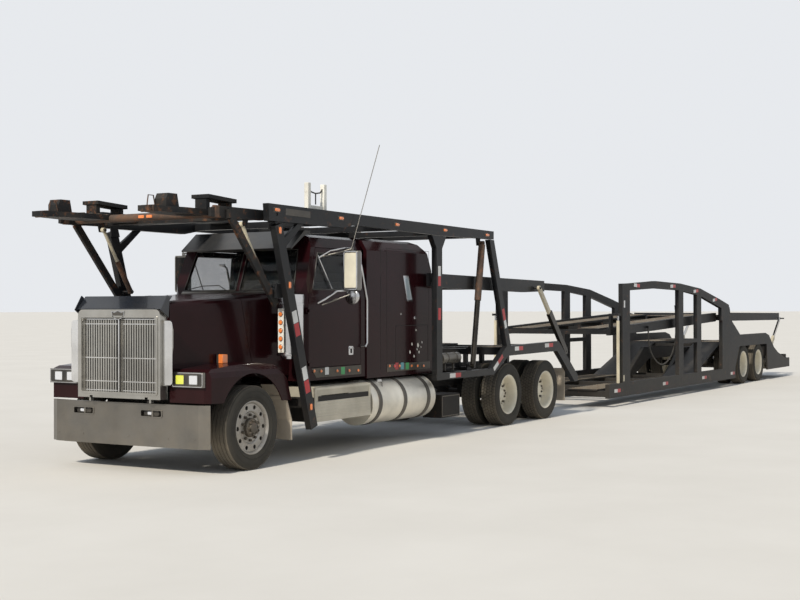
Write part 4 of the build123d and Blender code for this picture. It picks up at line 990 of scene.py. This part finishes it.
class TRANSPORTER_OT_sides(bpy.types.Operator):
    """Air cleaner lamps and bands, tank bands and caps, step treads, air tank and boxes"""

    bl_idname = "transporter.sides"
    bl_label = "Side fittings"

    def execute(self, context):
        cleaner = Shape("bright_chrome")
        for z in (1270, 1862, 1930):
            cleaner.turn(band(z, 157, 165, 14, 4), (-900, 1030, 0), "z", 40)
        cleaner.use("white_post").box((-716, -708), (988, 1072), (1290, 1808), 3)
        for z in range(1358, 1743, 96):
            cleaner.use("bright_chrome").drum((0, 1030, z), (-709, -704), 31, "x", 16)
            cleaner.use("lens_amber").drum((0, 1030, z), (-706, -690), 25, "x", 16, 6)
        cleaner.mirror().piece("air_cleaner_trim", "tractor", "bright_chrome")
        tank = Shape("dull_strap")
        for x in (-2640, -3265, -3890):
            tank.turn(band(x, 289, 299, 42, 4), FUEL_TANK_AXIS, "x", 56)
        tank.use("tank_aluminium")
        for x in (-2462, -4068):
            tank.turn([(276, x - 8), (292, x - 8), (294, x), (292, x + 8), (276, x + 8)], FUEL_TANK_AXIS, "x", 56)
        tank.use("bright_chrome").drum((-2860, 1030, 0), (838, 876), 52, "z", 24, 6)
        tank.use("black_plastic").tube([(-2860, 1060, 850), (-2830, 1110, 830), (-2800, 1130, 780)], 5, 6)
        tank.mirror().piece("tank_bands", "tractor", "tank_aluminium")
        step = Shape("step_frame")
        step.frame(oblong((-1160, 448), (-2400, 854)), 26, (1199, 1205))
        step.pad((-2374, 466), (-1186, 690), 10, (1199, 1207), 2, "y")
        for z in range(500, 690, 36):
            step.box((-2366, -1194), (1205, 1211), (z, z + 9), 2)
        # A black strip in the slot under the treads: painted shadow cast by the treads
        step.use("black_seam").pad((-2350, 690), (-1230, 752), 12, (1198, 1204), 1, "y")
        step.use("frame_black").box((-1156, -1148), (646, 1194), (446, 742), 2)
        step.mirror().piece("step_box_frames", "tractor", "brushed_chrome")
        bar = Shape("step_frame").box((-1210, -1190), (1010, 1195), (858, 863), 1)
        row_piece(bar, "step_treads", "tractor", 22, (-54, 0, 0), (0, -2205, 0))
        low = Shape("dull_chrome").drum(AIR_TANK_AXIS, (-5061, -4551), 78, "x", 28, 12)
        low.use("dull_strap")
        for x in (-4680, -4930):
            low.turn(band(x, 77, 83, 14, 2), AIR_TANK_AXIS, "x", 28)
            low.box(near(x, 14), (1006, 1034), (905, 1010), 2)
        low.use("frame_black").box((-4811, -4281), (880, 1196), (262, 590), 8)
        low.box((-4700, -4400), (500, 890), (560, 640), 4)
        low.use("dull_strap").frame(oblong((-4290, 280), (-4802, 572)), 12, (1194, 1199))
        low.mirror().piece("air_tanks_and_boxes", "tractor", "frame_black")
        return {"FINISHED"}


def tape(shape, colour, start, end, width):
    """A strip of tape on the outer face, between two points given as (x, z)."""
    along = Vector((end[0] - start[0], end[1] - start[1])).normalized()
    across = Vector((-along.y, along.x)) * width / 2
    corners = [(start[0] + across.x, start[1] + across.y), (end[0] + across.x, end[1] + across.y),
               (end[0] - across.x, end[1] - across.y), (start[0] - across.x, start[1] - across.y)]
    shape.use(colour).plate(corners, (OUTER_FACE - 0.5, OUTER_FACE + 1.5))


class TRANSPORTER_OT_markings(bpy.types.Operator):
    """Reflective tape and marker lamps of rack, posts, wheel frame and trailer"""

    bl_idname = "transporter.markings"
    bl_label = "Tape and marker lamps"

    def execute(self, context):
        posts = Shape("tape_white")
        for colour, low, high in (("tape_white", 1642, 1780), ("tape_red", 1491, 1636), ("tape_white", 975, 1126),
                                  ("tape_red", 821, 967)):
            tape(posts, colour, on_front_post(low), on_front_post(high), 92)
        for colour, low, high in (("tape_white", 2249, 2387), ("tape_red", 2111, 2246), ("tape_red", 1642, 1807)):
            tape(posts, colour, (-4041, low), (-4041, high), 70)
        for colour, low, high in (("tape_red", 1621, 1788), ("tape_white", 1500, 1617)):
            tape(posts, colour, on_rear_post(low), on_rear_post(high), 70)
        for start, end in (((-4333, 858), (-4658, 858)), ((-6408, 1176), (-6691, 1178)),
                           ((-7507, 1196), (-7818, 1199)), ((-5690, 888), (-5990, 1080))):
            middle = ((start[0] + end[0]) / 2, (start[1] + end[1]) / 2)
            tape(posts, "tape_white", start, middle, 62)
            tape(posts, "tape_red", middle, end, 62)
        for x, z in (on_front_post(2700), on_front_post(2079), on_front_post(650)):
            posts.use("rusty_steel").box(near(x, 30), (1299, 1304), near(z, 46), 2)
            posts.use("lens_amber").box(near(x, 20), (1302, 1316), near(z, 36), 8)
        brace = [(-395, 2500), (-450, 2500), (-820, 2796), (-700, 2796), (-360, 2560)]
        posts.use("black_steel").plate(brace, (1238, 1282), "y", 3)
        posts.mirror().piece("post_markings", "tractor", "deck_black")
        beams = Shape("lens_amber")
        for x, z in ((-272, 2930), (-1584, 2908), (-2907, 2900), (-4201, 2890), (-5479, 2882)):
            beams.use("dull_strap").box(near(x, 62), (1298, 1303), near(z, 26), 3)
            beams.use("lens_amber").box(near(x, 46), (1301, 1318), near(z, 17), 8)
        beams.use("dull_strap").plate([(-440, 2880), (-440, 2956), (-930, 2950), (-930, 2874)], (1299, 1303), "y", 1)
        beams.mirror().piece("rack_marker_lamps", "rack", "deck_black")
        trailer = Shape("tape_red")
        for x, z in ((-10640, 292), (-13200, 292), (-15650, 292), (-17700, 292), (-11642, 2215), (-13663, 2225),
                     (-15109, 2140), (-16409, 1960)):
            lean = 0.03 * (x + 12900) / 1000 if z > 1000 else 0
            tape(trailer, "tape_white", (x + 150, z + 150 * lean), (x, z), 62)
            tape(trailer, "tape_red", (x, z), (x - 150, z - 150 * lean), 62)
        tape(trailer, "tape_white", (-11000, 1800), (-11000, 1930), 60)
        tape(trailer, "cream_paint", (-10960, 446), (-10960, 560), 56)
        trailer.use("frame_black").box((-22400, -22310), (1150, 1290), (478, 580), 6)
        for y in (1186, 1254):
            trailer.use("dull_chrome").drum((0, y, 530), (-22405, -22396), 31, "x", 20)
            trailer.use("lens_red").drum((0, y, 530), (-22416, -22402), 26, "x", 20, 6)
        trailer.mirror().piece("trailer_markings", "trailer", "deck_black")
        for name, body, face, z in (("deck_end_tape", "rear_upper_deck", -22250, 1545),
                                    ("platform_end_tape", "rear_platform", -7725, 2145)):
            ends = Shape("tape_red")
            for low, colour in ((900, "tape_red"), (750, "tape_white"), (600, "tape_red"), (450, "tape_white")):
                strip = oblong((low, z - 22), (low + 148, z + 22))
                ends.use(colour).plate(strip, (face - 1.5, face + 0.5), "x")
            for y in (70, 210):
                ends.use("lens_red").box((face - 14, face), near(y, 40), near(z, 17), 6)
            ends.mirror().piece(name, body, "deck_black")
        return {"FINISHED"}


class TRANSPORTER_OT_decks(bpy.types.Operator):
    """Worn cross bars on the tracks of every deck, the white posts on the rack and the ramp's wire loops"""

    bl_idname = "transporter.decks"
    bl_label = "Deck surfaces"

    def execute(self, context):
        pitch = context.scene.transporter_finish.slat_pitch / MM
        # name, body, first bar (x, z on the surface), inner and outer y, length covered, rise over it
        decks = (
            ("rack_slats", "rack", (-560, 2950), (566, 954), 5040, 0),
            ("platform_slats", "rear_platform", (-4450, 2210), (506, 954), 3260, 0),
            ("wheel_deck_slats", "tractor", (-6260, 1200), (566, 1144), 1680, 0),
            ("ramp_slats", "head_ramp", (860, 2900), (566, 700), 1000, 0),
            ("front_deck_slats", "front_upper_deck", (-10850, 1417.5), (456, 894), 6000, 220.6),
            ("low_floor_slats", "trailer", (-10330, 325), (490, 1050), 4900, 0),
            ("rear_deck_slats", "rear_upper_deck", (-17990, 1599.9), (456, 894), 4250, -9.8),
            ("high_floor_slats", "trailer", (-17560, 1000), (490, 1090), 2900, 0),
        )
        for name, body, (x, z), (inner, outer), length, rise in decks:
            bar = Shape("worn_steel").box(near(x, 13), (inner, outer), (z - 1, z + 7), 2)
            row_piece(bar, name, body, int(length // pitch), (-pitch, 0, pitch * rise / length),
                      (0, -inner - outer, 0))
        posts = Shape("white_post")
        for x in (-1290, -1630):
            posts.box(near(x, 30), (980, 1040), (2990, 3336), 4)
        posts.box((-1600, -1320), (990, 1030), (3010, 3064), 4)
        strap = ((-1300, 3290), (-1360, 3230), (-1460, 3215), (-1560, 3230), (-1620, 3290))
        posts.use("black_plastic").tube([(x, 1010, z) for x, z in strap], 9)
        posts.tube([(-1460, 1010, 3215), (-1460, 1010, 3080)], 8)
        posts.piece("rack_stake_covers", "rack", "cream_paint")
        ramp = Shape("rusty_steel")
        for side in (1, -1):
            wire = ((1120, 2902), (1150, 3020), (1230, 3020), (1250, 2902))
            ramp.tube([(x, side * 720, z) for x, z in wire], 7)
            ramp.drum((1300, 0, 2870), (side * 690, side * 872), 38, "y", 20)
            ramp.box((560, 640), (side * 1098, side * 1144), (2800, 2934), 6)
        ramp.tube([(430, -1100, 2858), (430, 1100, 2858)], 44.5, 20)
        ramp.use("lens_amber")
        for y in (-60, 60):
            ramp.box((470, 486), near(y, 42), (2842, 2876), 5)
        ramp.piece("ramp_fittings", "head_ramp", "deck_black")
        # Solid black discs that stand for the ramp's holes: their black is painted shade seen in the holes
        hole = Shape("black_seam").drum((60, 735, 0), (2836, 2840.5), 24, "z", 10, 1)
        row_piece(hole, "ramp_hole_rims", "head_ramp", 12, (64, 0, 0), (0, 80, 0))
        return {"FINISHED"}


class TRANSPORTER_OT_hose(bpy.types.Operator):
    """The hydraulic hose that hangs inside the trailer's left side frame"""

    bl_idname = "transporter.hose"
    bl_label = "Deck hose"

    def execute(self, context):
        curve = bpy.data.curves.new("hose_line", "CURVE")
        curve.dimensions = "3D"
        spline = curve.splines.new("NURBS")
        spline.points.add(len(HOSE_ROUTE) - 1)
        for point, (x, z) in zip(spline.points, HOSE_ROUTE):
            point.co = (x * MM + AXLE_X, HOSE_Y * MM, z * MM, 1)
        spline.order_u = 3
        spline.use_endpoint_u = True
        spline.resolution_u = 8
        curve.bevel_depth = 0.014
        curve.bevel_resolution = 3
        curve.use_fill_caps = True
        hose = in_scene("hydraulic_hose", curve)
        curve.materials.append(finish("hose_rubber"))
        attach(hose, "trailer")
        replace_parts(hose, "deck_hose")
        x, z = HOSE_ROUTE[-1]
        clamps = Shape("dull_chrome").drum((x, HOSE_Y, 0), (z - 46, z - 1), 19, "z", 16)
        clamps.piece("hose_ferrule", "trailer", "brushed_chrome")
        return {"FINISHED"}


class TRANSPORTER_OT_stage(bpy.types.Operator):
    """Floor, lights and camera"""

    bl_idname = "transporter.stage"
    bl_label = "Set the stage"

    def execute(self, context):
        mesh = bpy.data.meshes.new("floor")
        corners = [(x, y, 0) for x, y in oblong((-FLOOR_HALF_M, -FLOOR_HALF_M), (FLOOR_HALF_M, FLOOR_HALF_M))]
        mesh.from_pydata(corners, [], [(0, 1, 2, 3)])
        floor = in_scene("floor", mesh)
        ground = Finish("floor")
        tone = ground.mix(ground.ramp(ground.noise(0.6, 6), (0.3, 0.0), (0.7, 1.0)), *FLOOR_TONES)
        mesh.materials.append(ground.shade(Base_Color=tone, Roughness=0.95, Specular_IOR_Level=0.1))

        world = bpy.data.worlds.new("studio")
        context.scene.world = world
        world.use_nodes = True
        tree = world.node_tree
        tree.nodes.clear()
        rays = add(tree, "ShaderNodeLightPath").outputs
        heading = add(tree, "ShaderNodeTexCoord").outputs["Generated"]
        upward = add(tree, "ShaderNodeSeparateXYZ", Vector=heading).outputs["Z"]
        bands = ramp(tree, maths(tree, "MULTIPLY_ADD", upward, 0.5, 0.5), SKY_BANDS)
        lit = node(tree, "ShaderNodeBackground", Color=bands)
        seen = node(tree, "ShaderNodeBackground", Color=BACKGROUND)
        shown = rays["Is Camera Ray"]
        for ray in ("Is Glossy Ray", "Is Transmission Ray"):
            shown = maths(tree, "MAXIMUM", shown, rays[ray])
        join = node(tree, "ShaderNodeMixShader", Fac=shown, i1=lit, i2=seen)
        add(tree, "ShaderNodeOutputWorld", Surface=join)

        lamp = bpy.data.lights.new("sun", "SUN")
        lamp.energy = SUN_STRENGTH
        lamp.angle = SUN_WIDTH
        lamp.color = SUN_COLOUR
        sun = in_scene("sun", lamp)
        sun.rotation_mode = "QUATERNION"
        sun.rotation_quaternion = Vector(SUN_HEADING).to_track_quat("-Z", "Y")

        view = bpy.data.cameras.new("camera")
        view.sensor_width = SENSOR_MM
        view.lens = SENSOR_MM * FOCAL_PIXELS / PICTURE_PIXELS
        view.clip_end = 1000
        camera = in_scene("camera", view)
        context.scene.camera = camera
        yaw, pitch, roll = (math.radians(turn) for turn in CAMERA_TURN)
        forward = Vector((math.cos(pitch) * math.cos(yaw), math.cos(pitch) * math.sin(yaw), math.sin(pitch)))
        right = Vector((math.sin(yaw), -math.cos(yaw), 0))
        up = right.cross(forward)
        right, up = right * math.cos(roll) + up * math.sin(roll), up * math.cos(roll) - right * math.sin(roll)
        turned = Matrix((right, up, -forward)).transposed()
        x, y, z = CAMERA_PLACE
        camera.matrix_world = Matrix.Translation((x + AXLE_X, y, z)) @ turned.to_4x4()
        context.scene.view_settings.view_transform = "Standard"
        return {"FINISHED"}


STEPS = (
    TRANSPORTER_OT_paint, TRANSPORTER_OT_front_wheels, TRANSPORTER_OT_twin_wheels, TRANSPORTER_OT_front,
    TRANSPORTER_OT_cab, TRANSPORTER_OT_doors, TRANSPORTER_OT_sides, TRANSPORTER_OT_markings, TRANSPORTER_OT_decks,
    TRANSPORTER_OT_hose, TRANSPORTER_OT_stage,
)


class TRANSPORTER_PT_panel(bpy.types.Panel):
    """Lists the steps that dress the transporter"""

    bl_label = "Car transporter"
    bl_idname = "TRANSPORTER_PT_panel"
    bl_space_type = "VIEW_3D"
    bl_region_type = "UI"
    bl_category = "Transporter"

    def draw(self, context):
        values = context.scene.transporter_finish
        for name in ("paint", "frame_paint", "lugs", "slat_pitch"):
            self.layout.prop(values, name)
        for step in STEPS:
            self.layout.operator(step.bl_idname)


CLASSES = (TransporterFinish,) + STEPS + (TRANSPORTER_PT_panel,)


def register():
    for kind in CLASSES:
        bpy.utils.register_class(kind)
    bpy.types.Scene.transporter_finish = bpy.props.PointerProperty(type=TransporterFinish)


def unregister():
    del bpy.types.Scene.transporter_finish
    for kind in reversed(CLASSES):
        bpy.utils.unregister_class(kind)


def main():
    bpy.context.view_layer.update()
    register()
    bpy.ops.transporter.paint()
    bpy.ops.transporter.front_wheels()
    bpy.ops.transporter.twin_wheels()
    bpy.ops.transporter.front()
    bpy.ops.transporter.cab()
    bpy.ops.transporter.doors()
    bpy.ops.transporter.sides()
    bpy.ops.transporter.markings()
    bpy.ops.transporter.decks()
    bpy.ops.transporter.hose()
    bpy.ops.transporter.stage()


if __name__ == "__main__":
    main()
